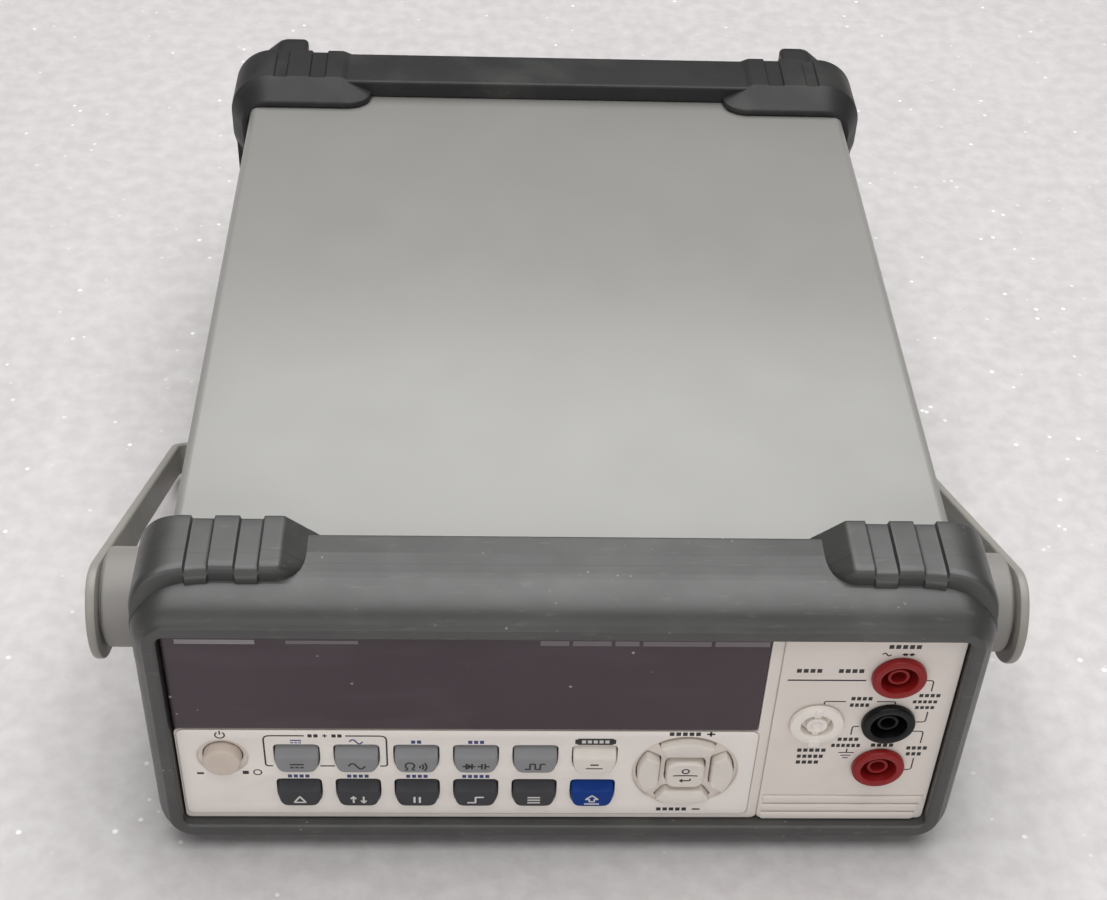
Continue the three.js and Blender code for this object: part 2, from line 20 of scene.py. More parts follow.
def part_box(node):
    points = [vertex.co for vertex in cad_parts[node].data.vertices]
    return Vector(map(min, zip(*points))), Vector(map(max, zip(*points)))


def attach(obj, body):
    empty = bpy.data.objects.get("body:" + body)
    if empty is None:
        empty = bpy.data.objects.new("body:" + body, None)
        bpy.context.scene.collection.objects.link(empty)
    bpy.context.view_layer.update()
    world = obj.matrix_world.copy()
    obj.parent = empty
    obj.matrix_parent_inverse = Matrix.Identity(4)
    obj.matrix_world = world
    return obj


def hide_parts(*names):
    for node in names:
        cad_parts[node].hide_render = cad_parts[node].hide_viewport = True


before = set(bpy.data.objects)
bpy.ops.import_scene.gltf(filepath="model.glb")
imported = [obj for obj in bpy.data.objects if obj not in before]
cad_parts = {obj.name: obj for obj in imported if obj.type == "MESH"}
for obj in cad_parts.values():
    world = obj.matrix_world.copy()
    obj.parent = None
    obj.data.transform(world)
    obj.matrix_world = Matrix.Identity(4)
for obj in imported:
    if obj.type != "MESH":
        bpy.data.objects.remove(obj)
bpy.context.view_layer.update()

LOG = logging.getLogger("multimeter")
MM = 0.001
FRONT_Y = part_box("front_bumper")[0].y
# Edges steeper than this stay sharp.
SHARP = math.radians(38)
# How much wider than their spacing the specks' loose groups are.
SPECK_GROUP = 3.1
# How much finer the gloss changes than the tone.
GLOSS_SHARE = 0.37
# Points along each corner of a bumper's ring.
CORNER_STEPS = 10

Flat = tuple[float, float]
Loop = list[Flat]
Placed = tuple[float, float, float]
Mesh = bpy.types.Mesh
Tree = bpy.types.NodeTree
Socket = bpy.types.NodeSocket


def at(x: float, depth: float, z: float) -> Vector:
    """Turns millimetres, with depth back from the bezel's face, into the frame's metres."""
    return Vector((x * MM, FRONT_Y + depth * MM, z * MM))


def extent(node: str) -> tuple[Placed, Placed]:
    """Gives a CAD node's lowest and highest corners in millimetres and depth.

    Args:
        node: The CAD node's name.

    Returns:
        The lowest and highest corners.
    """
    low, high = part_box(node)
    back = [(corner.x / MM, (corner.y - FRONT_Y) / MM, corner.z / MM) for corner in (low, high)]
    return back[0], back[1]


class Side(Enum):
    """Which side of the meter a mirrored piece is on."""

    LEFT = -1
    RIGHT = 1


class Axis(Enum):
    """Which way a turned piece's axis runs from its centre."""

    BACK = 0
    RIGHT = 1
    LEFT = -1


def front_centre(node: str) -> Placed:
    """Gives the middle of a CAD node in X and Z, at the bezel's depth."""
    low, high = extent(node)
    return (low[0] + high[0]) / 2, 0.0, (low[2] + high[2]) / 2


# ---------------------------------------------------------------- materials


def linear(hexcode: str) -> tuple[float, float, float, float]:
    """Turns an sRGB hex value into a linear colour.

    Args:
        hexcode: Six hex digits, with or without a leading hash.

    Returns:
        Red, green, blue and an alpha of one.
    """
    digits = hexcode.lstrip("#")
    values = [int(digits[i:i + 2], 16) / 255 for i in (0, 2, 4)]
    flat = [v / 12.92 if v <= 0.04045 else ((v + 0.055) / 1.055) ** 2.4 for v in values]
    return flat[0], flat[1], flat[2], 1.0


def per_metre(size_mm: float) -> float:
    """Turns a pattern's real size in millimetres into a texture scale."""
    return 1000.0 / size_mm


def add_node(tree: Tree, kind: str, inputs: dict | None = None, **settings) -> bpy.types.Node:
    """Adds a node, sets it up and links it.

    Args:
        tree: The node tree.
        kind: The node's type name.
        inputs: Socket name or number to a value, or to the output socket that feeds it.
        **settings: The node's own properties.

    Returns:
        The new node.
    """
    node = tree.nodes.new(kind)
    for key, value in settings.items():
        setattr(node, key, value)
    for key, value in (inputs or {}).items():
        if isinstance(value, Socket):
            tree.links.new(value, node.inputs[key])
        else:
            node.inputs[key].default_value = value
    return node


def pattern(tree: Tree, size_mm: float, detail: float = 2.0,
            squeeze: Placed = (1, 1, 1)) -> Socket:
    """Makes a cloudy pattern of a real size, fixed to the piece.

    Args:
        tree: The node tree.
        size_mm: The pattern's size.
        detail: How many finer layers it has.
        squeeze: How much finer it runs along each axis.

    Returns:
        The pattern's value socket.
    """
    place = add_node(tree, "ShaderNodeTexCoord")
    turned = add_node(tree, "ShaderNodeMapping", {"Vector": place.outputs["Object"], "Scale": squeeze})
    noise = add_node(tree, "ShaderNodeTexNoise", {
        "Vector": turned.outputs[0], "Scale": per_metre(size_mm), "Detail": detail})
    return noise.outputs["Fac"]


def specks(tree: Tree, spacing_mm: float, size_mm: float) -> Socket:
    """Makes scattered round specks, such as dust, in loose groups.

    Args:
        tree: The node tree.
        spacing_mm: The usual distance from one speck to the next.
        size_mm: A speck's size.

    Returns:
        A socket that is one on a speck and nought between them.
    """
    place = add_node(tree, "ShaderNodeTexCoord")
    cells = add_node(tree, "ShaderNodeTexVoronoi", {
        "Vector": place.outputs["Object"], "Scale": per_metre(spacing_mm), "Randomness": 1.0})
    reach = size_mm / spacing_mm
    near = add_node(tree, "ShaderNodeMapRange", {
        0: cells.outputs["Distance"], 1: reach * 0.5, 2: reach, 3: 1.0, 4: 0.0})
    group = add_node(tree, "ShaderNodeMapRange", {
        0: pattern(tree, spacing_mm * SPECK_GROUP), 1: 0.52, 2: 0.60, 3: 0.0, 4: 1.0})
    both = add_node(tree, "ShaderNodeMath", {0: near.outputs[0], 1: group.outputs[0]}, operation="MULTIPLY")
    return both.outputs[0]


@dataclass(frozen=True)
class Finish:
    """A real material and how its surface was made.

    The grain is the fine texture of the surface, the mottle its slow change of tone.
    """

    name: str
    colour: str
    roughness: float
    metallic: float = 0.0
    ior: float = 1.5
    grain_mm: float = 0.5
    grain_height_mm: float = 0.01
    mottle_mm: float = 18.0
    mottle: float = 0.04
    gloss_change: float = 0.05
    specular: float = 0.5

    def tone(self, tree: Tree) -> Socket:
        """Gives the colour socket: the base colour with a slow change of tone."""
        base = linear(self.colour)
        dim = tuple(c * (1 - self.mottle * 2) for c in base[:3]) + (1.0,)
        bright = tuple(min(1.0, c * (1 + self.mottle)) for c in base[:3]) + (1.0,)
        share = add_node(tree, "ShaderNodeMapRange", {
            0: pattern(tree, self.mottle_mm, 3.0), 1: 0.3, 2: 0.7, 3: 0.0, 4: 1.0})
        mixed = add_node(tree, "ShaderNodeMix", {0: share.outputs[0], 6: dim, 7: bright}, data_type="RGBA")
        return mixed.outputs[2]

    def height(self, tree: Tree) -> Socket:
        """Gives the height socket of the surface's grain."""
        return pattern(tree, self.grain_mm, 2.0)

    def shine(self, tree: Tree) -> Socket:
        """Gives the roughness socket, which changes slowly over the surface."""
        spread = self.gloss_change
        low, high = max(0.02, self.roughness - spread), min(1.0, self.roughness + spread)
        change = add_node(tree, "ShaderNodeMapRange", {
            0: pattern(tree, self.mottle_mm * GLOSS_SHARE, 3.0), 1: 0.3, 2: 0.7, 3: low, 4: high})
        return change.outputs[0]

    def finish_shader(self, shader: bpy.types.Node) -> None:
        """Sets the shader's own constant sockets."""
        shader.inputs["Metallic"].default_value = self.metallic
        shader.inputs["IOR"].default_value = self.ior
        shader.inputs["Specular IOR Level"].default_value = self.specular

    def material(self) -> bpy.types.Material:
        """Builds the material once and gives it again when asked again."""
        known = bpy.data.materials.get(self.name)
        if known is not None:
            return known
        made = bpy.data.materials.new(self.name)
        made.use_nodes = True
        tree = made.node_tree
        tree.nodes.clear()
        bump = add_node(tree, "ShaderNodeBump", {
            "Height": self.height(tree), "Distance": self.grain_height_mm * MM, "Strength": 1.0})
        shader = add_node(tree, "ShaderNodeBsdfPrincipled", {
            "Base Color": self.tone(tree), "Roughness": self.shine(tree), "Normal": bump.outputs[0]})
        self.finish_shader(shader)
        add_node(tree, "ShaderNodeOutputMaterial", {"Surface": shader.outputs[0]})
        made.diffuse_color = linear(self.colour)
        return made


@dataclass(frozen=True)
class PowderCoat(Finish):
    """Polyester powder sprayed and baked on sheet steel.

    It gives an even colour with a soft sheen that fine orange peel breaks up. The sprayed grain is
    really about 0.1 mm and is drawn at four times that, so that it shows.
    """

    peel_mm: float = 1.6

    def height(self, tree: Tree) -> Socket:
        """Gives orange peel with a finer sprayed grain on it."""
        both = add_node(tree, "ShaderNodeMath", {
            0: pattern(tree, self.peel_mm, 1.0), 1: pattern(tree, self.grain_mm, 1.0)}, operation="ADD")
        return both.outputs[0]


@dataclass(frozen=True)
class MouldedElastomer(Finish):
    """Thermoplastic elastomer moulded in a spark-eroded tool.

    It looks dry and matt, holds dust, takes pale scuffs along its length and shows the thin line where
    the mould's halves met. The eroded grain is really about 0.1 mm and is drawn at four times that.
    """

    scuff: str = "85857f"
    scuff_mm: float = 1.6
    film: str = "96948a"
    patch_mm: float = 26.0
    powder: str = "b9b7ae"
    powder_spacing_mm: float = 2.3
    powder_mm: float = 0.42
    dust: float = 1.0
    seam: str = "1f1f1e"
    parting_mm: float = 17.2
    parting_width_mm: float = 0.32

    def parting(self, tree: Tree, tone: Socket) -> Socket:
        """Darkens the thin line where the mould's halves met.

        Args:
            tree: The node tree.
            tone: The colour that the line is drawn on.

        Returns:
            The colour socket with the line.
        """
        place = add_node(tree, "ShaderNodeTexCoord")
        axes = add_node(tree, "ShaderNodeSeparateXYZ", {0: place.outputs["Object"]})
        away = add_node(tree, "ShaderNodeMath", {
            0: axes.outputs[1], 1: FRONT_Y + self.parting_mm * MM}, operation="SUBTRACT")
        size = add_node(tree, "ShaderNodeMath", {0: away.outputs[0]}, operation="ABSOLUTE")
        half = self.parting_width_mm * MM / 2
        line = add_node(tree, "ShaderNodeMapRange", {
            0: size.outputs[0], 1: half * 0.6, 2: half * 1.4, 3: 0.55, 4: 0.0})
        mixed = add_node(tree, "ShaderNodeMix", {
            0: line.outputs[0], 6: tone, 7: linear(self.seam)}, data_type="RGBA")
        return mixed.outputs[2]

    def tone(self, tree: Tree) -> Socket:
        """Gives the base tone with rubbed streaks, fine dust in patches and the parting line."""
        streaks = add_node(tree, "ShaderNodeMapRange", {
            0: pattern(tree, self.scuff_mm, 6.0, (0.22, 1.0, 1.0)), 1: 0.62, 2: 0.80, 3: 0.0,
            4: 0.24 * self.dust})
        streaked = add_node(tree, "ShaderNodeMix", {
            0: streaks.outputs[0], 6: super().tone(tree), 7: linear(self.scuff)}, data_type="RGBA")
        patches = add_node(tree, "ShaderNodeMapRange", {
            0: pattern(tree, self.patch_mm, 3.0), 1: 0.5, 2: 0.72, 3: 0.0, 4: 1.0})
        film = add_node(tree, "ShaderNodeMath", {0: patches.outputs[0], 1: 0.08}, operation="MULTIPLY")
        filmed = add_node(tree, "ShaderNodeMix", {
            0: film.outputs[0], 6: streaked.outputs[2], 7: linear(self.film)}, data_type="RGBA")
        powder = add_node(tree, "ShaderNodeMath", {
            0: patches.outputs[0], 1: self.dust}, operation="MULTIPLY")
        grains = add_node(tree, "ShaderNodeMath", {
            0: specks(tree, self.powder_spacing_mm, self.powder_mm), 1: powder.outputs[0]},
            operation="MULTIPLY")
        dusty = add_node(tree, "ShaderNodeMix", {
            0: grains.outputs[0], 6: filmed.outputs[2], 7: linear(self.powder)}, data_type="RGBA")
        return self.parting(tree, dusty.outputs[2])


@dataclass(frozen=True)
class MouldedPlastic(Finish):
    """Plastic moulded against a finely etched steel tool.

    It gives an even colour and a satin face. The etched grain is really under 0.1 mm and is drawn a
    few times coarser, so that it shows.
    """

    ior: float = 1.54
    grain_mm: float = 0.3
    grain_height_mm: float = 0.006
    mottle_mm: float = 9.0
    mottle: float = 0.02
    dust: float = 0.0
    grime: str = "9c938a"
    grime_mm: float = 9.0

    def tone(self, tree: Tree) -> Socket:
        """Gives the base tone, with faint grime where the piece is pale."""
        base = super().tone(tree)
        if self.dust <= 0:
            return base
        grime = add_node(tree, "ShaderNodeMapRange", {
            0: pattern(tree, self.grime_mm, 6.0), 1: 0.58, 2: 0.8, 3: 0.0, 4: self.dust})
        mixed = add_node(tree, "ShaderNodeMix", {
            0: grime.outputs[0], 6: base, 7: linear(self.grime)}, data_type="RGBA")
        return mixed.outputs[2]


@dataclass(frozen=True)
class ScreenInk(Finish):
    """Screen-printed ink: a thin flat film of one even tone, duller than what it lies on."""

    grain_mm: float = 0.3
    grain_height_mm: float = 0.002


@dataclass(frozen=True)
class DrawnGlass(Finish):
    """Drawn or floated glass: no grain, and a hard clear gloss."""

    ior: float = 1.52
    grain_height_mm: float = 0.002


@dataclass(frozen=True)
class SmokedAcrylic(Finish):
    """Cast acrylic sheet with a dark violet tint.

    It gives a deep gloss that shows a wiped haze and every speck of dust.
    """

    haze: str = "8d8187"
    haze_mm: float = 14.0
    lint: str = "a89ea3"
    lint_spacing_mm: float = 6.5
    lint_mm: float = 0.55

    def tone(self, tree: Tree) -> Socket:
        """Gives the tint with fine dust and a faint wiped haze on it."""
        haze = add_node(tree, "ShaderNodeMapRange", {
            0: pattern(tree, self.haze_mm, 5.0, (0.3, 1.0, 1.0)), 1: 0.5, 2: 0.8, 3: 0.0, 4: 0.10})
        wiped = add_node(tree, "ShaderNodeMix", {
            0: haze.outputs[0], 6: super().tone(tree), 7: linear(self.haze)}, data_type="RGBA")
        dusty = add_node(tree, "ShaderNodeMix", {
            0: specks(tree, self.lint_spacing_mm, self.lint_mm), 6: wiped.outputs[2], 7: linear(self.lint)},
            data_type="RGBA")
        return dusty.outputs[2]


@dataclass(frozen=True)
class FoamSheet(Finish):
    """Extruded polyethylene packing foam.

    Its pale closed cells give a soft mottle, and white specks are painted on as glints of light on the
    cells. The cells are really 1 to 2 mm and are drawn coarser, so that they show.
    """

    cell: str = "f3f1f1"
    cell_mm: float = 7.0
    # Colour and size of the white specks that are painted on as glints of light on the foam cells.
    painted_glint: str = "ffffff"
    painted_glint_mm: float = 1.1

    def tone(self, tree: Tree) -> Socket:
        """Gives the pale tone with cell mottle and white specks painted on as glints."""
        cells = add_node(tree, "ShaderNodeMapRange", {
            0: pattern(tree, self.cell_mm, 2.0), 1: 0.35, 2: 0.75, 3: 0.0, 4: 0.30})
        soft = add_node(tree, "ShaderNodeMix", {
            0: cells.outputs[0], 6: super().tone(tree), 7: linear(self.cell)}, data_type="RGBA")
        # White specks painted on as glints of light on the foam cells.
        glinted = add_node(tree, "ShaderNodeMix", {
            0: specks(tree, self.cell_mm, self.painted_glint_mm), 6: soft.outputs[2], 7: linear(self.painted_glint)},
            data_type="RGBA")
        return glinted.outputs[2]


@dataclass(frozen=True)
class PlatedMetal(Finish):
    """Turned or pressed metal with a thin plating.

    It gives fine tool lines under a bright surface. The lines are really under 0.1 mm apart and are
    drawn coarser, so that they show.
    """

    def height(self, tree: Tree) -> Socket:
        """Gives fine lines drawn out along the piece."""
        return pattern(tree, self.grain_mm, 3.0, (0.15, 1.0, 1.0))


# Pale grey powder coat: a broad, soft sheen over barely visible peel.
CASE_ENAMEL = PowderCoat(
    "case_powder_coat", "94938f", 0.33, ior=1.62, grain_mm=0.45, grain_height_mm=0.012, mottle_mm=60,
    mottle=0.012, gloss_change=0.04)
# Warmer grey powder coat on the rear panel: flat and even.
REAR_ENAMEL = PowderCoat(
    "rear_panel_powder_coat", "aeaea6", 0.5, grain_mm=0.45, grain_height_mm=0.015, mottle_mm=40,
    mottle=0.02)
# The bumpers' elastomer at the back, darkened to paint the shade that falls there; nearly clean, with no
# parting line in reach.
SHADED_REAR_ELASTOMER = MouldedElastomer(
    "rear_bumper_shaded_elastomer", "2b2b2c", 0.46, specular=0.28, grain_mm=0.4, grain_height_mm=0.02,
    mottle_mm=22, mottle=0.05, gloss_change=0.04, dust=0.15, parting_mm=-50.0)
# Dark grey elastomer: dry brow and ribs with dust in patches and a parting line on top.
ELASTOMER = MouldedElastomer(
    "bumper_elastomer", "3b3b3a", 0.40, ior=1.66, specular=0.5, grain_mm=0.4, grain_height_mm=0.02,
    mottle_mm=22, mottle=0.05, gloss_change=0.04)
# Off-white ABS: satin, slightly warm, faintly grimy.
FASCIA = MouldedPlastic("fascia_abs", "e6ddd5", 0.5, grain_mm=0.35, mottle_mm=30, mottle=0.012, dust=0.1)
# Off-white ABS key: smoother than the panel, so its edge catches the light.
PALE_KEY = MouldedPlastic("pale_key_abs", "e4ddd4", 0.45, mottle=0.015, dust=0.12)
# Ivory ABS, yellowed by handling: the warmest white on the face.
POWER_KEY = MouldedPlastic("power_key_abs", "d3c5b8", 0.48, dust=0.16)
# Mid grey ABS key with little gloss.
GREY_KEY = MouldedPlastic("grey_key_abs", "8c8c8e", 0.45, specular=0.25)
# Charcoal ABS key with little gloss.
DARK_KEY = MouldedPlastic("dark_key_abs", "3f3f42", 0.42, specular=0.2)
# Deep blue ABS key: a smooth face with a small highlight.
BLUE_KEY = MouldedPlastic("blue_key_abs", "053684", 0.36, grain_height_mm=0.005, mottle=0.03, specular=0.15)
# Red polyamide: dense colour with a waxy highlight on the rim.
RED_SOCKET = MouldedPlastic(
    "red_polyamide", "8d1b1b", 0.36, ior=1.53, grain_mm=0.25, mottle_mm=6, mottle=0.03, specular=0.25)
# Black polyamide: the darkest spot on the face, with a thin highlight on its rim.
BLACK_SOCKET = MouldedPlastic(
    "black_polyamide", "0f0e0f", 0.34, ior=1.53, grain_mm=0.25, mottle_mm=6, mottle=0.04, specular=0.2)
# White polycarbonate: brighter and glossier than the panel round it.
WHITE_CAP = MouldedPlastic(
    "white_polycarbonate", "efe8e0", 0.32, ior=1.58, grain_mm=0.25, grain_height_mm=0.004, mottle_mm=8,
    mottle=0.01, dust=0.12)
# Smoked acrylic: a dark violet, glossy pane.
WINDOW_PANE = SmokedAcrylic(
    "smoked_acrylic", "3b2c34", 0.16, ior=1.49, grain_mm=30, grain_height_mm=0.02, mottle_mm=70,
    mottle=0.05, gloss_change=0.05)
# Grey powder coat on the strap: soft sheen along its flat face.
STRAP_PAINT = PowderCoat(
    "strap_powder_coat", "99968f", 0.42, grain_mm=0.4, grain_height_mm=0.012, mottle_mm=30, mottle=0.02)
# Grey ABS bosses: satin, a little warmer than the case.
HUB_ABS = MouldedPlastic("hub_abs", "8f8c88", 0.5, grain_mm=0.35, mottle_mm=20, dust=0.1)
# Bright nickel on turned parts: small sharp highlights.
NICKEL = PlatedMetal(
    "nickel_plate", "b9b6ae", 0.28, 1.0, grain_mm=0.2, grain_height_mm=0.004, mottle_mm=6)
# Passivated zinc on pressed steel: dull, cool and blotchy.
ZINC = PlatedMetal(
    "zinc_plate", "a5a8a8", 0.42, 1.0, grain_mm=0.6, grain_height_mm=0.008, mottle_mm=12, mottle=0.08)
# Black ABS of the inlet and the inner rods: satin.
BLACK_ABS = MouldedPlastic("black_abs", "28282a", 0.5, grain_height_mm=0.008, mottle_mm=10, mottle=0.03)
# Silicone rubber mat: matt and dark.
SILICONE = MouldedPlastic(
    "black_silicone", "2e2e30", 0.62, ior=1.43, grain_mm=0.4, mottle_mm=12, mottle=0.04)
# Glass-epoxy board under green resist: semi-gloss, with the weave's blotches.
LAMINATE = Finish("glass_epoxy_laminate", "2c6b48", 0.38, ior=1.55, grain_mm=0.8, mottle_mm=5, mottle=0.1)
# Float glass over the dark display: black and glossy.
DISPLAY_GLASS = DrawnGlass("display_glass_face", "17171c", 0.12, grain_mm=20, mottle_mm=20, mottle=0.03)
# Drawn glass tube of the fuse: pale grey and glossy.
FUSE_GLASS = DrawnGlass("fuse_glass_tube", "bfc4c0", 0.15, grain_mm=5)
# Dipped steel laminations: brown, uneven and slightly glossy.
VARNISH = Finish("varnished_laminations", "4a3c30", 0.35, grain_height_mm=0.05, mottle_mm=6, mottle=0.12)
# Heat-shrunk PVC sleeve: smooth dark blue.
SLEEVE = Finish("shrink_sleeve", "22336b", 0.35, ior=1.52, grain_mm=0.6, grain_height_mm=0.004)
# Extruded PVC flat cable: grey, ridged at the 1.27 mm wire spacing.
RIBBON = Finish("ribbon_insulation", "9b9b9c", 0.5, ior=1.52, grain_mm=1.27, grain_height_mm=0.08)
# Black, blue and white ink: flat strokes on the panel and the keys.
DARK_INK = ScreenInk("black_screen_ink", "2a2828", 0.55)
BLUE_INK = ScreenInk("blue_screen_ink", "3a4478", 0.55)
WHITE_INK = ScreenInk("white_screen_ink", "d9d7d2", 0.55)
# Pale and darker grey ink on the window: just lighter than its tint.
PALE_STRIP = ScreenInk("pale_printed_strip", "8f898b", 0.4)
GREY_STRIP = ScreenInk("grey_printed_strip", "736c6f", 0.4)
# Printed polyester film over the key field: smoother and paler than the moulding.
OVERLAY = MouldedPlastic(
    "printed_polyester_overlay", "f2ebe4", 0.42, ior=1.57, grain_mm=0.35, grain_height_mm=0.004,
    mottle_mm=30, mottle=0.01, dust=0.08)
# Pale packing foam that the meter stands on.
BENCH = FoamSheet(
    "pale_foam_sheet", "cdc9c9", 0.5, ior=1.45, grain_mm=2.2, grain_height_mm=0.12, mottle_mm=70,
    mottle=0.015)


# ---------------------------------------------------------------- shapes


def arc(centre: Flat, radius: float, start: float, end: float, steps: int) -> Loop:
    """Gives points along an arc, with angles in degrees."""
    turns = [math.radians(start + (end - start) * i / steps) for i in range(steps + 1)]
    return [(centre[0] + radius * math.cos(t), centre[1] + radius * math.sin(t)) for t in turns]


def rounded_loop(x0: float, x1: float, z0: float, z1: float, radius: float, steps: int = 8) -> Loop:
    """Gives a rectangle's outline with round corners.

    Args:
        x0: Its left side.
        x1: Its right side.
        z0: Its lower side.
        z1: Its upper side.
        radius: The corners' radius.
        steps: Points along each corner.

    Returns:
        The outline, anticlockwise from the lower right corner.
    """
    r = max(radius, 0.01)
    corners = [((x1 - r, z0 + r), -90), ((x1 - r, z1 - r), 0), ((x0 + r, z1 - r), 90),
               ((x0 + r, z0 + r), 180)]
    return [point for centre, start in corners for point in arc(centre, r, start, start + 90, steps)]


def circle_loop(x: float, z: float, radius: float, steps: int = 64) -> Loop:
    """Gives a circle's outline."""
    return arc((x, z), radius, 0, 360, steps)[:-1]


def soften(loop: Sequence[Flat], radius: float, steps: int = 4, closed: bool = True) -> Loop:
    """Rounds the corners of an outline or a profile.

    Args:
        loop: The corner points.
        radius: How far back from each corner the rounding starts, at most.
        steps: Points along each rounding.
        closed: Whether the last point joins the first.

    Returns:
        The softened points.
    """
    count = len(loop)
    result: Loop = []
    for i, point in enumerate(loop):
        if not closed and i in (0, count - 1):
            result.append(point)
            continue
        here = Vector(point)
        before = Vector(loop[i - 1]) - here
        after = Vector(loop[(i + 1) % count]) - here
        reach = min(radius, before.length * 0.45, after.length * 0.45)
        first, last = here + before.normalized() * reach, here + after.normalized() * reach
        for k in range(steps + 1):
            t = k / steps
            spot = first * (1 - t) ** 2 + here * 2 * t * (1 - t) + last * t ** 2
            result.append((spot.x, spot.y))
    return result


def inset(loop: Sequence[Flat], distance: float) -> Loop:
    """Moves an outline inwards.

    Args:
        loop: The outline, anticlockwise.
        distance: How far; a negative one moves it outwards.

    Returns:
        The moved outline.
    """
    result: Loop = []
    count = len(loop)
    for i, point in enumerate(loop):
        along = (Vector(loop[(i + 1) % count]) - Vector(loop[i - 1])).normalized()
        result.append((point[0] - along.y * distance, point[1] + along.x * distance))
    return result


def cleaned(mesh: Mesh, merge_mm: float) -> Mesh:
    """Merges points that are this close, turns the faces outwards and gives the mesh back."""
    work = bmesh.new()
    work.from_mesh(mesh)
    bmesh.ops.remove_doubles(work, verts=work.verts, dist=merge_mm * MM)
    bmesh.ops.recalc_face_normals(work, faces=work.faces)
    work.to_mesh(mesh)
    work.free()
    return mesh


class Draft:
    """A mesh in the making, in millimetres and depth."""

    def __init__(self) -> None:
        """Starts empty."""
        self.points: list[Placed] = []
        self.faces: list[tuple[int, ...]] = []

    def ring(self, points: Iterable[Placed]) -> list[int]:
        """Adds points and gives their numbers."""
        first = len(self.points)
        self.points.extend(points)
        return list(range(first, len(self.points)))

    def skin(self, rings: Sequence[Sequence[int]], round_rings: bool = True, loop: bool = False) -> None:
        """Joins neighbouring rings with faces.

        Args:
            rings: Rings with the same number of points.
            round_rings: Whether each ring closes on itself.
            loop: Whether the last ring joins the first.
        """
        pairs = list(zip(rings, rings[1:]))
        if loop:
            pairs.append((rings[-1], rings[0]))
        for lower, upper in pairs:
            count = len(lower)
            for i in range(count if round_rings else count - 1):
                j = (i + 1) % count
                self.faces.append((lower[i], lower[j], upper[j], upper[i]))

    def tube(self, rings: Sequence[Sequence[int]]) -> None:
        """Joins rings and closes both ends."""
        self.skin(rings)
        self.faces.append(tuple(rings[0]))
        self.faces.append(tuple(reversed(rings[-1])))

    def mesh(self, name: str, merge_mm: float = 0.001) -> Mesh:
        """Turns the draft into a closed mesh with its faces pointing out.

        Args:
            name: The mesh's name.
            merge_mm: Points that are this close become one.

        Returns:
            The mesh, in metres.
        """
        made = bpy.data.meshes.new(name)
        made.from_pydata([at(*point) for point in self.points], [], self.faces)
        return cleaned(made, merge_mm)


def add_object(name: str, mesh: Mesh, finish: Finish | None = None, sharp: float = SHARP) -> bpy.types.Object:
    """Puts a mesh in the scene, smoothly shaded and dressed.

    Args:
        name: The piece's name.
        mesh: Its mesh, in metres.
        finish: Its material.
        sharp: Edges steeper than this stay sharp.

    Returns:
        The new object.
    """
    piece = bpy.data.objects.new(name, mesh)
    bpy.context.scene.collection.objects.link(piece)
    mesh.polygons.foreach_set("use_smooth", [True] * len(mesh.polygons))
    mesh.set_sharp_from_angle(angle=sharp)
    if finish is not None:
        mesh.materials.clear()
        mesh.materials.append(finish.material())
    return piece


def apply_modifiers(piece: bpy.types.Object) -> None:
    """Bakes a piece's modifiers into its mesh."""
    bpy.context.view_layer.update()
    done = bpy.data.meshes.new_from_object(piece.evaluated_get(bpy.context.evaluated_depsgraph_get()))
    piece.modifiers.clear()
    old, piece.data = piece.data, done
    bpy.data.meshes.remove(old)


def drop(piece: bpy.types.Object) -> None:
    """Removes a helper object."""
    bpy.data.objects.remove(piece, do_unlink=True)


def settle(piece: bpy.types.Object, body: str, slot: str, *stands_for: str) -> None:
    """Fixes a finished piece to its body.

    Args:
        piece: The piece.
        body: The body that it rides on.
        slot: Not used.
        *stands_for: The CAD nodes that it replaces.
    """
    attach(piece, body)
    if stands_for:
        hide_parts(*stands_for)
    LOG.info("%s: %d faces on %s", piece.name, len(piece.data.polygons), body)


def mount(name: str, mesh: Mesh, finish: Finish, body: str, slot: str, *stands_for: str) -> None:
    """Puts a finished mesh in the scene as a piece on a body.

    Args:
        name: The piece's name.
        mesh: Its mesh.
        finish: Its material.
        body: The body that it rides on.
        slot: Its material slot.
        *stands_for: The CAD nodes that it replaces.
    """
    settle(add_object(name, mesh, finish), body, slot, *stands_for)


def flat_plate(name: str, loops: Sequence[Loop], front: float, back: float, edge: float) -> Mesh:
    """Cuts a plate with holes and gives it rounded edges.

    Args:
        name: The mesh's name.
        loops: The outline first, then the holes, in X and Z.
        front: Depth of the front face.
        back: Depth of the back face.
        edge: Radius of the rounded edges.

    Returns:
        The plate's mesh.
    """
    curve = bpy.data.curves.new(name, "CURVE")
    curve.dimensions = "2D"
    curve.fill_mode = "BOTH"
    curve.extrude = (back - front) / 2 - edge
    curve.bevel_depth = edge
    curve.bevel_resolution = 2
    curve.offset = -edge
    for loop in loops:
        spline = curve.splines.new("POLY")
        spline.points.add(len(loop) - 1)
        for point, (x, z) in zip(spline.points, loop):
            point.co = (x, z, 0.0, 1.0)
        spline.use_cyclic_u = True
    holder = bpy.data.objects.new(name, curve)
    bpy.context.scene.collection.objects.link(holder)
    bpy.context.view_layer.update()
    made = bpy.data.meshes.new_from_object(holder.evaluated_get(bpy.context.evaluated_depsgraph_get()))
    drop(holder)
    for vertex in made.vertices:
        x, z, lift = vertex.co
        vertex.co = at(x, (front + back) / 2 - lift, z)
    return cleaned(made, 0.002)


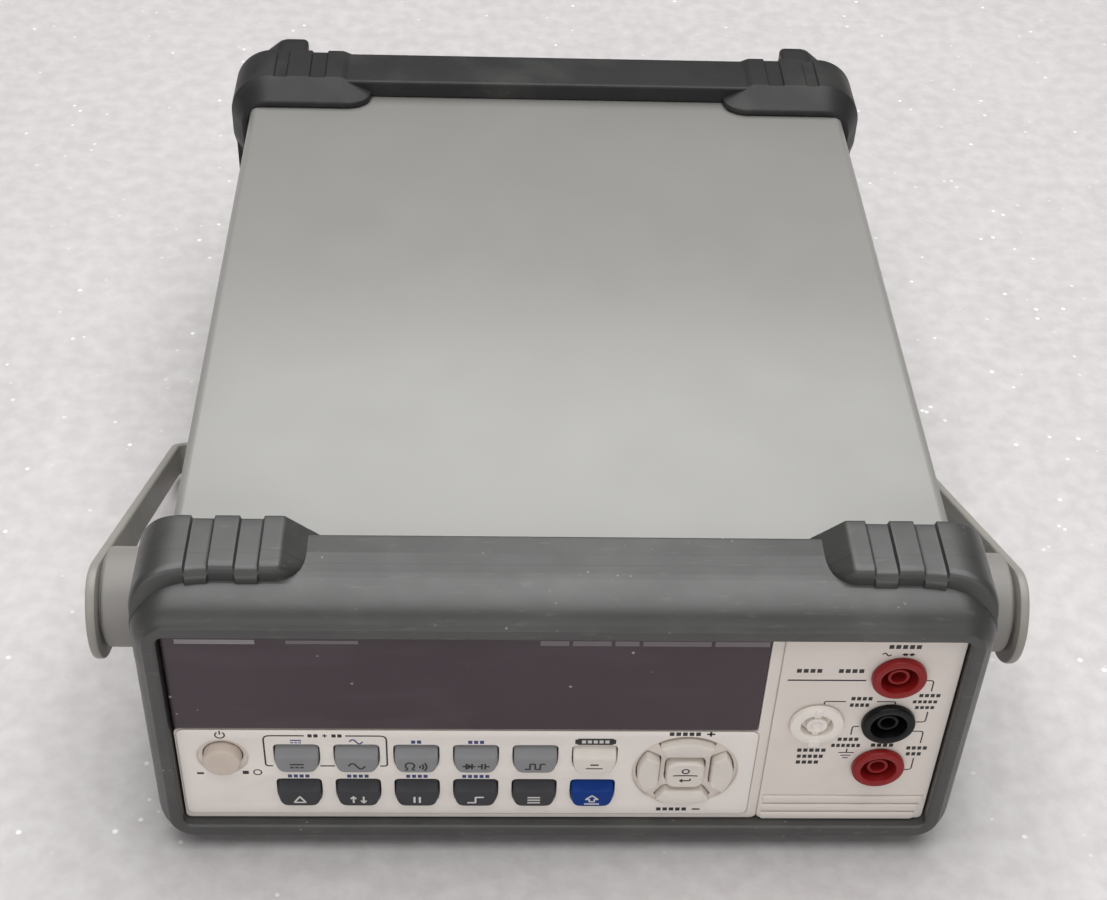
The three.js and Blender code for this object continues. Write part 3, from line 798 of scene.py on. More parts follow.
def turned(name: str, profile: Sequence[Flat], centre: Placed, axis: Axis = Axis.BACK,
           steps: int = 96) -> Mesh:
    """Turns a profile about an axis.

    Args:
        name: The mesh's name.
        profile: Radius and distance along the axis, closed on itself or on the axis.
        centre: A point on the axis; distances are counted from it.
        axis: The way that the axis runs.
        steps: Facets round the axis.

    Returns:
        The turned mesh.
    """
    draft = Draft()
    rings = []
    for radius, along in profile:
        points = []
        for i in range(steps):
            turn = 2 * math.pi * i / steps
            u, v = radius * math.cos(turn), radius * math.sin(turn)
            x, depth, z = centre
            if axis is Axis.BACK:
                points.append((x + u, depth + along, z + v))
            else:
                points.append((x + axis.value * along, depth + u, z + v))
        rings.append(draft.ring(points))
    on_axis = profile[0][0] == 0 and profile[-1][0] == 0
    draft.skin(rings, loop=not on_axis)
    return draft.mesh(name)


def cap_loft(name: str, outline: Loop, face: Callable[[float, float], float], base: float,
             edge: float, rings: int = 6) -> Mesh:
    """Makes a key's cap: walls, a rounded edge and a face that follows a depth function.

    Args:
        name: The mesh's name.
        outline: The cap's outline, anticlockwise, in X and Z.
        face: Depth of the face at X and Z.
        base: Depth of the cap's back.
        edge: Radius of its edge.
        rings: Rings of points across the face.

    Returns:
        The cap's mesh.
    """
    draft = Draft()
    loops = [draft.ring((x, base, z) for x, z in outline)]
    for k in range(5):
        turn = math.pi / 2 * k / 4
        moved = inset(outline, edge * (1 - math.cos(turn)))
        loops.append(draft.ring((x, face(x, z) + edge * (1 - math.sin(turn)), z) for x, z in moved))
    inner = inset(outline, edge)
    cx = sum(p[0] for p in inner) / len(inner)
    cz = sum(p[1] for p in inner) / len(inner)
    for k in range(1, rings):
        share = 1 - k / rings
        shrunk = [(cx + (x - cx) * share, cz + (z - cz) * share) for x, z in inner]
        loops.append(draft.ring((x, face(x, z), z) for x, z in shrunk))
    draft.skin(loops)
    centre = draft.ring([(cx, face(cx, cz), cz)])[0]
    last = loops[-1]
    for i, point in enumerate(last):
        draft.faces.append((point, last[(i + 1) % len(last)], centre))
    draft.faces.append(tuple(reversed(loops[0])))
    return draft.mesh(name)


def carve(name: str, solids: Sequence[Mesh], cutters: Sequence[Mesh] = ()) -> Mesh:
    """Joins overlapping solids into one body and cuts others away.

    Args:
        name: The mesh's name.
        solids: Closed meshes that make up the body.
        cutters: Closed meshes to take away.

    Returns:
        The finished mesh.
    """
    body = bpy.data.objects.new(name, solids[0])
    bpy.context.scene.collection.objects.link(body)
    steps = [("UNION", mesh) for mesh in solids[1:]] + [("DIFFERENCE", mesh) for mesh in cutters]
    helpers = []
    for operation, mesh in steps:
        helper = bpy.data.objects.new(f"{name}_tool", mesh)
        bpy.context.scene.collection.objects.link(helper)
        helpers.append(helper)
        tool = body.modifiers.new(operation, "BOOLEAN")
        tool.operation = operation
        tool.solver = "MANIFOLD"
        tool.object = helper
    apply_modifiers(body)
    made = body.data.copy()
    for extra in (body, *helpers):
        drop(extra)
    return made


# ---------------------------------------------------------------- bumpers


@dataclass
class Station:
    """One rounded rectangle on the way round a bumper ring's section."""

    depth: float
    half: float
    bottom: float
    top: float
    radius: float

    def loop(self) -> list[Placed]:
        """Gives the rectangle's points at this depth."""
        flat = rounded_loop(-self.half, self.half, self.bottom, self.top, self.radius, CORNER_STEPS)
        return [(x, self.depth, z) for x, z in flat]


def ring_mesh(name: str, stations: Sequence[Station]) -> Mesh:
    """Lofts stations, which run once round a ring's section, into a closed ring."""
    draft = Draft()
    draft.skin([draft.ring(station.loop()) for station in stations], loop=True)
    return draft.mesh(name)


def smoothstep(value: float) -> float:
    """Eases a value between nought and one."""
    t = min(1.0, max(0.0, value))
    return t * t * (3 - 2 * t)


@dataclass
class PadPath:
    """The way that a corner pad follows: over the top from its inner end, round the corner, down the side."""

    side: Side
    upward: bool
    inner: float
    half: float
    level: float
    radius: float
    down: float

    def point(self, along: float) -> tuple[Flat, Flat]:
        """Gives one place on the path.

        Args:
            along: The distance along the path.

        Returns:
            The base point and the outward direction.
        """
        straight = self.half - self.radius - self.inner
        bend = self.radius * math.pi / 2
        if along <= straight:
            spot, out = (self.inner + along, 0.0), (0.0, 1.0)
        elif along <= straight + bend:
            turn = (along - straight) / self.radius
            out = (math.sin(turn), math.cos(turn))
            spot = (self.half - self.radius + out[0] * self.radius, -self.radius + out[1] * self.radius)
        else:
            spot, out = (self.half, -self.radius - (along - straight - bend)), (1.0, 0.0)
        flip = 1 if self.upward else -1
        x = spot[0] * self.side.value
        return (x, self.level + spot[1] * flip), (out[0] * self.side.value, out[1] * flip)

    def length(self) -> float:
        """Gives the whole path's length."""
        return self.half - self.radius - self.inner + self.radius * math.pi / 2 + self.down


def pad_mesh(name: str, path: PadPath, section: Callable[[float], Loop], places: Sequence[float]) -> Mesh:
    """Sweeps a pad's section along its path.

    Args:
        name: The mesh's name.
        path: The pad's path.
        section: Gives the closed section, as depth and height over the path, at a distance along it.
        places: Distances along the path that get a section.

    Returns:
        The pad's mesh.
    """
    draft = Draft()
    rings = []
    for along in places:
        (x, z), (nx, nz) = path.point(along)
        rings.append(draft.ring((x + nx * lift, depth, z + nz * lift) for depth, lift in section(along)))
    draft.tube(rings)
    return draft.mesh(name)


def sample_places(length: float, spacing: float, walls: Iterable[float], spread: float) -> list[float]:
    """Spaces sections evenly, with a cluster of them at each groove wall.

    Args:
        length: The path's length.
        spacing: The even spacing.
        walls: Distances of the groove walls.
        spread: Half the width of a cluster.

    Returns:
        The distances in order.
    """
    count = int(length / spacing)
    places = {round(length * i / count, 4) for i in range(count + 1)}
    for wall in walls:
        places = {p for p in places if abs(p - wall) > spread * 1.2 or p in (0.0, round(length, 4))}
        places |= {round(wall + spread * step / 5, 4) for step in range(-5, 6)
                   if 0 < wall + spread * step / 5 < length}
    return sorted(places)


def block_mesh(name: str, x0: float, x1: float, y0: float, y1: float, z0: float, z1: float,
               edge: float) -> Mesh:
    """Makes a block with rounded edges, used to cut grooves and to build small housings."""
    return flat_plate(name, [rounded_loop(x0, x1, z0, z1, edge * 1.5, 4)], y0, y1, edge)


@dataclass
class FrontBumper:
    """The front bumper: a ring with a rounded brow and a ribbed pad at each corner.

    Each brow row is a depth and how far the ring is drawn in there at its sides, below and on top.
    """

    half: float = 115.3
    bottom: float = 4.5
    top: float = 102.0
    radius: float = 13.0
    pad_front: float = 10.8
    pad_rear: float = 30.5
    pad_inner: float = 69.0
    tail_inner: float = 64.0
    pad_height: float = 4.9
    end_slope: float = 0.78
    channels: tuple[Flat, Flat] = ((93.8, 99.8), (80.7, 86.9))
    channel_depth: float = 1.2
    wall: float = 0.3
    side_grooves: tuple[float, ...] = (64.2, 55.4, 35.0, 25.6)
    groove_way: tuple[Placed, ...] = (
        (0.8, 3.4, -0.4), (3.0, 1.2, 0.5), (6.0, -0.6, 1.1), (16, -2.2, 1.2), (31, -3.0, 1.2))
    brow: tuple[tuple[float, float, float, float], ...] = (
        (28.3, 0.7, 0.7, 0.7), (28.2, 0.3, 0.3, 0.3), (27.9, 0.06, 0.06, 0.06), (27.5, 0, 0, 0),
        (14, 0, 0, 0),
        (12, 0, 0, 0.1), (10, 0.03, 0, 0.4), (8.2, 0.12, 0.05, 0.95), (6.6, 0.35, 0.15, 1.65),
        (5.2, 0.7, 0.35, 2.45), (4.0, 1.15, 0.65, 3.3), (3.0, 1.7, 1.0, 4.15), (2.2, 2.3, 1.4, 5.0),
        (1.5, 2.95, 1.8, 5.85), (0.95, 3.5, 2.2, 6.55), (0.55, 3.85, 2.5, 6.95), (0.2, 4.1, 2.75, 7.2),
        (0.04, 4.35, 3.0, 7.45), (0.0, 4.8, 3.3, 7.8))
    mouth: tuple[Station, ...] = (
        Station(0.0, 108.4, 10.9, 91.9, 3.4), Station(0.15, 107.95, 11.35, 91.3, 3.0),
        Station(0.6, 107.5, 11.8, 90.95, 2.6), Station(7.7, 107.35, 12.0, 90.8, 2.2),
        Station(7.9, 107.6, 12.3, 98.3, 2.6), Station(27.8, 107.6, 12.3, 98.3, 2.6),
        Station(28.3, 108.1, 11.8, 98.8, 3.0))

    def station(self, depth: float, sides: float, low: float, high: float) -> Station:
        """Gives an outer station.

        Args:
            depth: Where it stands.
            sides: How far its sides are drawn in from the ring's full size.
            low: How far its lower edge is drawn in.
            high: How far its upper edge is drawn in.

        Returns:
            The station.
        """
        radius = max(self.radius - (sides + high) / 2, 2.5)
        return Station(depth, self.half - sides, self.bottom + low, self.top - high, radius)

    def ring(self) -> Mesh:
        """Builds the ring, from its rear edge over the brow to the panel's mouth and back inside."""
        stations = [self.station(*row) for row in self.brow] + list(self.mouth)
        return ring_mesh("front_ring", stations)

    def groove_share(self, place: float) -> float:
        """Gives how far into a channel a point at this distance from the middle is, from nought to one."""
        share = 0.0
        for near, far in self.channels:
            share = max(share, smoothstep(min(place - near, far - place) / (2 * self.wall) + 0.5))
        return share

    def pad(self, side: Side, upward: bool) -> Mesh:
        """Builds one corner pad, whose inner slope runs on over the ring's rear edge to the case.

        Args:
            side: The side it is on.
            upward: Whether it is an upper pad.

        Returns:
            The pad's mesh.
        """
        level = self.top if upward else self.bottom
        path = PadPath(side, upward, self.tail_inner, self.half, level, self.radius, 12.0)
        full = self.pad_height if upward else self.bottom
        straight = path.half - path.radius - path.inner
        corner = 8.0

        def section(along: float) -> Loop:
            """Gives the pad's section at a distance along its path."""
            place = path.inner + along
            slope = min(full, max((place - self.pad_inner) * self.end_slope, -3.6))
            if upward:
                fade = 1 - smoothstep((along - straight - 3) / (path.radius * 1.25))
                sweep = 4.8 * smoothstep((along - straight + 8) / 24.0)
            else:
                fade, sweep = 1 - smoothstep((along - straight + 5) / path.radius), 0.0
            groove = self.groove_share(place)
            rise = (slope * fade if slope > 0 else slope) - self.channel_depth * groove
            if place < self.pad_inner:
                tip = min(1.0, max(0.0, (self.tail_inner + 3.5 - place) / 3.5))
                rear = self.pad_rear - 1.7 * (1 - math.sqrt(1 - tip ** 2))
                low = max(rise - 0.25, -3.9)
                return soften([(27.7, -3.95), (27.7, low), (27.8, rise), (28.2, rise), (28.5, rise),
                               (28.6, rise), (rear, rise), (rear + 0.02, -3.95)], 0.7, 4)
            share = min(1.0, (place - self.pad_inner) / corner)
            nose = self.pad_front + corner * (1 - math.sqrt(1 - (1 - share) ** 2)) - sweep
            lip = nose - 1.0 * groove
            low = max(rise - 2.1, -0.3) * (1 - groove) + min(rise * 0.45, 1.7) * groove
            ramp = nose + 1.15
            shoulder = (nose + 0.5 + groove * (0.5 * (lip + ramp) - nose - 0.5),
                        rise - 0.6 * (1 - groove) + groove * 0.5 * (low - rise))
            points = [(lip, -3.0), (lip + 0.06, low), shoulder, (ramp + 0.9 * (1 - groove), rise),
                      (22.5, rise),
                      (26.0, rise), (self.pad_rear, rise), (self.pad_rear + 0.05, -3.95)]
            return soften(points, 0.9, 4)

        walls = [edge - path.inner for pair in self.channels
                 for edge in pair] + [self.pad_inner - path.inner + 0.3]
        return pad_mesh("front_pad", path, section, sample_places(path.length(), 0.7, walls, self.wall))

    def side_groove(self, side: Side, level: float) -> Mesh:
        """Builds the cutter of one slanted groove.

        Args:
            side: The side it is on.
            level: Its height at the middle of its slant.

        Returns:
            The cutter's mesh.
        """
        draft = Draft()
        rings = []
        for depth, drop_by, sink in self.groove_way:
            outline = soften([(0, 1.7), (0, -1.7), (6, -1.9), (6, 1.9)], 0.5, 3)
            face = side.value * (self.half - sink)
            rings.append(draft.ring((face + side.value * u, depth, level + drop_by + v) for u, v in outline))
        draft.tube(rings)
        return draft.mesh("side_groove")

    def build(self) -> None:
        """Moulds the bumper and puts it in place of its CAD node."""
        name = "front_bumper_moulding"
        pads = [self.pad(side, upward) for side in Side for upward in (True, False)]
        cutters = [self.side_groove(side, level) for side in Side for level in self.side_grooves]
        mesh = carve(name, [self.ring(), *pads], cutters)
        mount(name, mesh, ELASTOMER, "case", "bumper_rubber", "front_bumper")


@dataclass
class RearBumper:
    """The rear bumper: a deeper ring with ramped corner pads and pegs for winding a lead.

    Each outside row is a depth and how far the ring is drawn in there. Each row of a peg's way is a
    depth, its inner and outer sides, and how far its top and bottom are drawn in.
    """

    half: float = 114.4
    bottom: float = 4.6
    top: float = 104.4
    radius: float = 14.0
    rear: float = 280.5
    pad_front: float = 251.2
    pad_inner: float = 64.0
    lip: float = -3.9
    crest: float = 1.0
    ramp_end: float = 261.0
    grooves: tuple[Flat, Flat] = ((94.8, 99.2), (80.8, 86.4))
    wall: float = 0.3
    peg_levels: Flat = (9.0, 83.0)
    peg_height: float = 16.0
    peg_way: tuple[tuple[float, float, float, float], ...] = (
        (276.6, 89.4, 106.8, 0), (288, 89.5, 106.6, 0), (297, 89.7, 106.2, 0), (299.6, 89.9, 105.8, 0.2),
        (300.8, 90.3, 105.2, 0.7), (301.5, 91.0, 104.4, 1.4), (301.8, 92.0, 103.4, 2.3))
    outside: tuple[Flat, ...] = (
        (280.5, 1.6), (280.4, 0.9), (280.1, 0.4), (279.6, 0.1), (279.0, 0), (260.8, 0), (260.4, 0.06),
        (260.15, 0.25), (260.0, 0.7))
    window: tuple[Station, ...] = (
        Station(260.0, 107.9, 12.0, 98.6, 3.0), Station(260.3, 107.6, 12.3, 98.3, 2.7),
        Station(276.3, 107.6, 12.3, 98.3, 2.7), Station(276.4, 87.0, 22.0, 89.0, 4.0),
        Station(279.9, 87.0, 22.0, 89.0, 4.0), Station(280.3, 87.3, 21.7, 89.3, 4.3),
        Station(280.5, 87.9, 21.1, 89.9, 4.8))

    def ring(self) -> Mesh:
        """Builds the ring with its window for the rear panel."""
        stations = [Station(depth, self.half - trim, self.bottom + trim, self.top - trim, self.radius - trim)
                    for depth, trim in self.outside] + list(self.window)
        return ring_mesh("rear_ring", stations)

    def pad(self, side: Side, upward: bool) -> Mesh:
        """Builds one ramped corner pad.

        Args:
            side: The side it is on.
            upward: Whether it is an upper pad.

        Returns:
            The pad's mesh.
        """
        level = self.top if upward else self.bottom
        path = PadPath(side, upward, self.pad_inner, self.half, level, self.radius, 16.0)
        crest = self.crest if upward else self.bottom

        def section(along: float) -> Loop:
            """Gives the pad's section at a distance along its path."""
            share = 1 - min(1.0, along / 9.0)
            nose = self.pad_front + 7.5 * (1 - math.sqrt(max(0.0, 1 - share ** 2)))
            end = smoothstep((path.length() - along) / 8.0)
            nose += 6.0 * (1 - end)
            rise = min(1.0, along / 11.0)
            top = self.lip + (crest - self.lip) * rise
            place = path.inner + along
            sunk = sum(0.8 * smoothstep(min(place - near, far - place) / (2 * self.wall) + 0.5)
                       for near, far in self.grooves)
            top = top * end + (1 - end) * -0.3
            corners = [(nose, -6.0), (nose + 0.02, self.lip), (self.ramp_end, top),
                       (self.ramp_end + 0.7, top - sunk),
                       (self.rear - 0.12, top - sunk), (self.rear - 0.12, -6.0)]
            return soften(corners, 0.7, 4)

        walls = [edge - path.inner for pair in self.grooves for edge in pair]
        return pad_mesh("rear_pad", path, section, sample_places(path.length(), 0.8, walls, self.wall))

    def peg(self, side: Side, low: float) -> Mesh:
        """Builds one peg, straight on its inner side and sloped off at its outer upper corner.

        Args:
            side: The side it is on.
            low: Its lower side.

        Returns:
            The peg's mesh.
        """
        draft = Draft()
        rings = []
        for depth, inner, outer, trim in self.peg_way:
            top, bottom = low + self.peg_height - trim, low + trim
            loop = soften([(inner, bottom), (outer, bottom), (outer, top - 5.0), (outer - 6.2, top),
                           (inner, top)], 1.8, 4)
            rings.append(draft.ring((side.value * x, depth, z) for x, z in loop))
        draft.tube(rings)
        return draft.mesh("peg")

    def build(self) -> None:
        """Moulds the bumper and puts it in place of its CAD node."""
        name = "rear_bumper_moulding"
        pads = [self.pad(side, upward) for side in Side for upward in (True, False)]
        pegs = [self.peg(side, low) for side in Side for low in self.peg_levels]
        mesh = carve(name, [self.ring(), *pads, *pegs])
        # The rear bumper takes the elastomer darkened as painted shade.
        mount(name, mesh, SHADED_REAR_ELASTOMER, "case", "bumper_rubber", "rear_bumper")


# ---------------------------------------------------------------- case


@dataclass
class CaseSleeve:
    """The painted steel sleeve, folded round the chassis with a soft bend at each long edge."""

    half: float = 107.3
    bottom: float = 12.6
    top: float = 98.0
    front: float = 8.0
    rear: float = 276.0
    sheet: float = 1.0
    bend: float = 3.0

    def build(self) -> None:
        """Builds the sleeve with its pivot holes."""
        stations = []
        for depth in (self.front, self.front + 0.3, self.rear - 0.3, self.rear):
            trim = 0.15 if depth in (self.front, self.rear) else 0.0
            stations.append(Station(depth, self.half - trim, self.bottom + trim, self.top - trim, self.bend))
        inner = self.sheet
        for depth in (self.rear, self.front):
            stations.append(Station(depth, self.half - inner, self.bottom + inner, self.top - inner,
                                    self.bend - inner))
        piece = add_object("case_sleeve", ring_mesh("case_sleeve", stations), CASE_ENAMEL)
        low, high = extent("left_pivot_screw")
        pivot = turned("pivot_cut", [(0, -112), (5.3, -112), (5.3, 112), (0, 112)],
                       (0, (low[1] + high[1]) / 2, (low[2] + high[2]) / 2), Axis.RIGHT, 40)
        helper = add_object("pivot_cut", pivot)
        cut = piece.modifiers.new("pivot", "BOOLEAN")
        cut.operation = "DIFFERENCE"
        cut.solver = "EXACT"
        cut.object = helper
        apply_modifiers(piece)
        drop(helper)
        settle(piece, "case", "case_paint", "case_cover")


# ---------------------------------------------------------------- printing


def arc_line(centre: Flat, radius: float, start: float, end: float) -> Loop:
    """Gives an arc as a line of closely spaced points."""
    return arc(centre, radius, start, end, max(6, int(abs(end - start) / 12)))


def fine_line(line: Sequence[Flat], step: float = 0.4) -> Loop:
    """Adds points along a line so that it can follow a curved face."""
    result: Loop = [line[0]]
    for (x0, z0), (x1, z1) in zip(line, line[1:]):
        parts = max(1, int(math.hypot(x1 - x0, z1 - z0) / step))
        result += [(x0 + (x1 - x0) * k / parts, z0 + (z1 - z0) * k / parts) for k in range(1, parts + 1)]
    return result


@dataclass
class Printing:
    """Screen-printed strokes that lie on a face as a film of ink."""

    width: float = 0.42
    film: float = 0.035
    strokes: list[tuple[Loop, float, bool]] = field(default_factory=list)

    def stroke(self, line: Sequence[Flat], width: float | None = None, closed: bool = False) -> "Printing":
        """Adds one stroke and gives the printing back."""
        self.strokes.append((list(line), width or self.width, closed))
        return self

    def bar(self, x: float, z: float, length: float, width: float | None = None) -> "Printing":
        """Adds a level bar centred on a point."""
        return self.stroke([(x - length / 2, z), (x + length / 2, z)], width)

    def bent(self, *points: Flat, radius: float = 1.0, steps: int = 4) -> "Printing":
        """Adds an open line with rounded corners."""
        return self.stroke(soften(points, radius, steps, closed=False))

    def blocks(self, x: float, z: float, count: int, high: float, wide: float = 1.15) -> "Printing":
        """Adds a row of plain blocks where words would stand.

        Args:
            x: The row's middle.
            z: The row's middle.
            count: How many blocks.
            high: Their height.
            wide: Their width.

        Returns:
            The printing itself.
        """
        pitch = wide * 1.42
        for i in range(count):
            self.bar(x + (i - (count - 1) / 2) * pitch, z, wide, high)
        return self

    def mesh(self, name: str, face: Callable[[float, float], float]) -> Mesh:
        """Builds the ink's mesh.

        Args:
            name: The mesh's name.
            face: Depth of the face under the ink, at X and Z.

        Returns:
            The mesh.
        """
        draft = Draft()
        for line, width, closed in self.strokes:
            points = fine_line(line + [line[0]] if closed else line)
            if closed:
                points = points[:-1]
            count = len(points)
            left, right = [], []
            for i, point in enumerate(points):
                before = points[i - 1] if closed or i else point
                after = points[(i + 1) % count] if closed or i < count - 1 else point
                along = (Vector(after) - Vector(before)).normalized()
                nx, nz = -along.y * width / 2, along.x * width / 2
                left.append((point[0] + nx, point[1] + nz))
                right.append((point[0] - nx, point[1] - nz))
            rings = []
            for (lx, lz), (rx, rz) in zip(left, right):
                front_l, front_r = face(lx, lz), face(rx, rz)
                rings.append(draft.ring([(lx, front_l - self.film, lz), (rx, front_r - self.film, rz),
                                         (rx, front_r + self.film, rz), (lx, front_l + self.film, lz)]))
            if closed:
                draft.skin(rings, loop=True)
            else:
                draft.tube(rings)
        return draft.mesh(name, 0.0001)

    def lay(self, name: str, face: Callable[[float, float], float], ink: Finish, body: str = "case",
            slot: str = "dark_key") -> None:
        """Prints the strokes on a face and fixes them to the body under it.

        Args:
            name: The printing's name.
            face: Depth of the face at X and Z.
            ink: The ink.
            body: The body that the face is on.
            slot: The ink's material slot.
        """
        mount(name, self.mesh(name, face), ink, body, slot)


Stroke = tuple[Sequence[Flat], float, bool]


def pen(*points: Flat, width: float = 0.0, closed: bool = False) -> Stroke:
    """Gives one stroke of a sign; a width of nought means the printing's own."""
    return points, width, closed


@dataclass(frozen=True)
class Sign:
    """A general sign: its strokes about its middle, in units of its size."""

    strokes: tuple[Stroke, ...]

    def draw(self, ink: Printing, x: float, z: float, size: float) -> None:
        """Adds the sign to a printing.

        Args:
            ink: The printing.
            x: The sign's middle.
            z: The sign's middle.
            size: Its unit in millimetres.
        """
        for points, width, closed in self.strokes:
            ink.stroke([(x + a * size, z + b * size) for a, b in points], width or None, closed)


DIRECT_CURRENT = Sign((pen((-1.1, 0.35), (1.1, 0.35)),
                       *(pen((s - 0.28, -0.35), (s + 0.28, -0.35)) for s in (-0.78, 0.0, 0.78))))
SINE = Sign((pen(*((1.3 * (t / 12 - 1), 0.62 * math.sin(math.pi * t / 12)) for t in range(25))),))
RESISTANCE = Sign((pen((-0.2, -0.8), (-0.62, -0.8), *arc_line((-1.0, 0.12), 0.7, -55, 235), (-1.38, -0.8),
                        (-1.8, -0.8)),
                   *(pen(*arc_line((0.2, -0.1), radius, -40, 40)) for radius in (0.4, 0.9, 1.4))))
CAPACITOR = [(pen((1.2 + s * 0.25, 0.65), (1.2 + s * 0.25, -0.65)),
              pen((1.2 + s * 0.25, 0), (1.2 + s * 0.95, 0)))
             for s in (-1, 1)]
DIODE = Sign((pen((-2.1, 0), (-0.1, 0)), pen((-1.5, 0.6), (-1.5, -0.6), (-0.75, 0), closed=True),
              pen((-0.6, 0.65), (-0.6, -0.65)), *CAPACITOR[0], *CAPACITOR[1]))
SQUARE_WAVE = Sign((pen((-1.6, -0.6), (-0.8, -0.6), (-0.8, 0.6), (0, 0.6), (0, -0.6), (0.8, -0.6),
                         (0.8, 0.6),
                         (1.6, 0.6)),))
TWO_LINES = Sign((pen((-0.65, 0.45), (0.65, 0.45), width=0.55), pen((-1.3, -0.4), (1.3, -0.4), width=0.38)))
DELTA = Sign((pen((-0.9, -0.65), (0.9, -0.65), (0, 0.75), closed=True),))
ARROWS = [(pen((s, -way * 0.75), (s, way * 0.6)),
           pen((s - 0.42, way * 0.2), (s, way * 0.75), (s + 0.42, way * 0.2)))
          for s, way in ((-0.8, 1), (0.8, -1))]
UP_DOWN = Sign((*ARROWS[0], *ARROWS[1]))
PAUSE = Sign(tuple(pen((s, -0.7), (s, 0.7), width=0.62) for s in (-0.42, 0.42)))
RISING_EDGE = Sign((pen((-1.3, -0.65), (0, -0.65), (0, 0.65), (1.3, 0.65)),))
THREE_LINES = Sign(tuple(pen((-1, s), (1, s)) for s in (-0.62, 0.0, 0.62)))
ARROW_ON_LINE = Sign((pen((0, 1.1), (1, 0.2), (0.4, 0.2), (0.4, -0.35), (-0.4, -0.35), (-0.4, 0.2),
                           (-1, 0.2),
                           closed=True), pen((-1.2, -0.9), (1.2, -0.9))))


# ---------------------------------------------------------------- fascia

FLANGE_FRONT = 6.6
FLANGE_REAR = 7.4
PANEL_FRONT = 3.0
PANEL_REAR = 6.2
PANEL_HALF = 107.0
PANEL_LOW = 12.3
PANEL_HIGH = 90.5
SEAM = 58.0


def panel_face(_x: float, _z: float) -> float:
    """Gives the depth of the panel's front."""
    return PANEL_FRONT


@dataclass
class KeyShape:
    """The outline and face that the twelve function keys share."""

    width: float = 12.1
    height: float = 10.0
    shoulder: float = 1.3
    slope: float = 1.02
    crown: float = 1.35
    flat: float = 1.1
    flat_slope: float = 0.035

    def outline(self, x: float, z: float, grow: float) -> Loop:
        """Gives a key's outline: straight across the top, sides drawn in towards the bottom.

        Args:
            x: The key's middle.
            z: The key's middle.
            grow: How far outside the cap it runs.

        Returns:
            The outline.
        """
        w, top, bottom = self.width / 2 + grow, z + self.height / 2 + grow, z - self.height / 2 - grow
        half: Loop = [
            (w - 3.0, bottom), (w - 1.9, bottom + 0.14), (w - 1.05, bottom + 0.75), (w - 0.5, bottom + 1.8),
            (w - 0.16, bottom + 3.4), (w - 0.02, z - 0.4), (w, z + 1.2), (w, top - 1.4), (w - 0.3, top - 0.5),
            (w - 1.0, top - 0.06), (w - 2.0, top)]
        loop = [(x + a, b) for a, b in half] + [(x - a, b) for a, b in reversed(half)]
        return soften(loop, 0.6, 2)

    def face(self, _x: float, z: float, centre: float) -> float:
        """Gives the depth of a key's face: an upper slope, a shoulder and a nearly flat lower face.

        Args:
            _x: Not used, as the face is the same all the way across.
            z: The height on the panel.
            centre: The key's middle.

        Returns:
            The depth.
        """
        up = z - centre
        slope = self.crown + (up - self.shoulder) * self.slope
        flat = self.flat + (up + 3.0) * self.flat_slope
        blend = 0.5 * (slope + flat + math.sqrt((slope - flat) ** 2 + 0.05))
        return min(blend, 5.4)


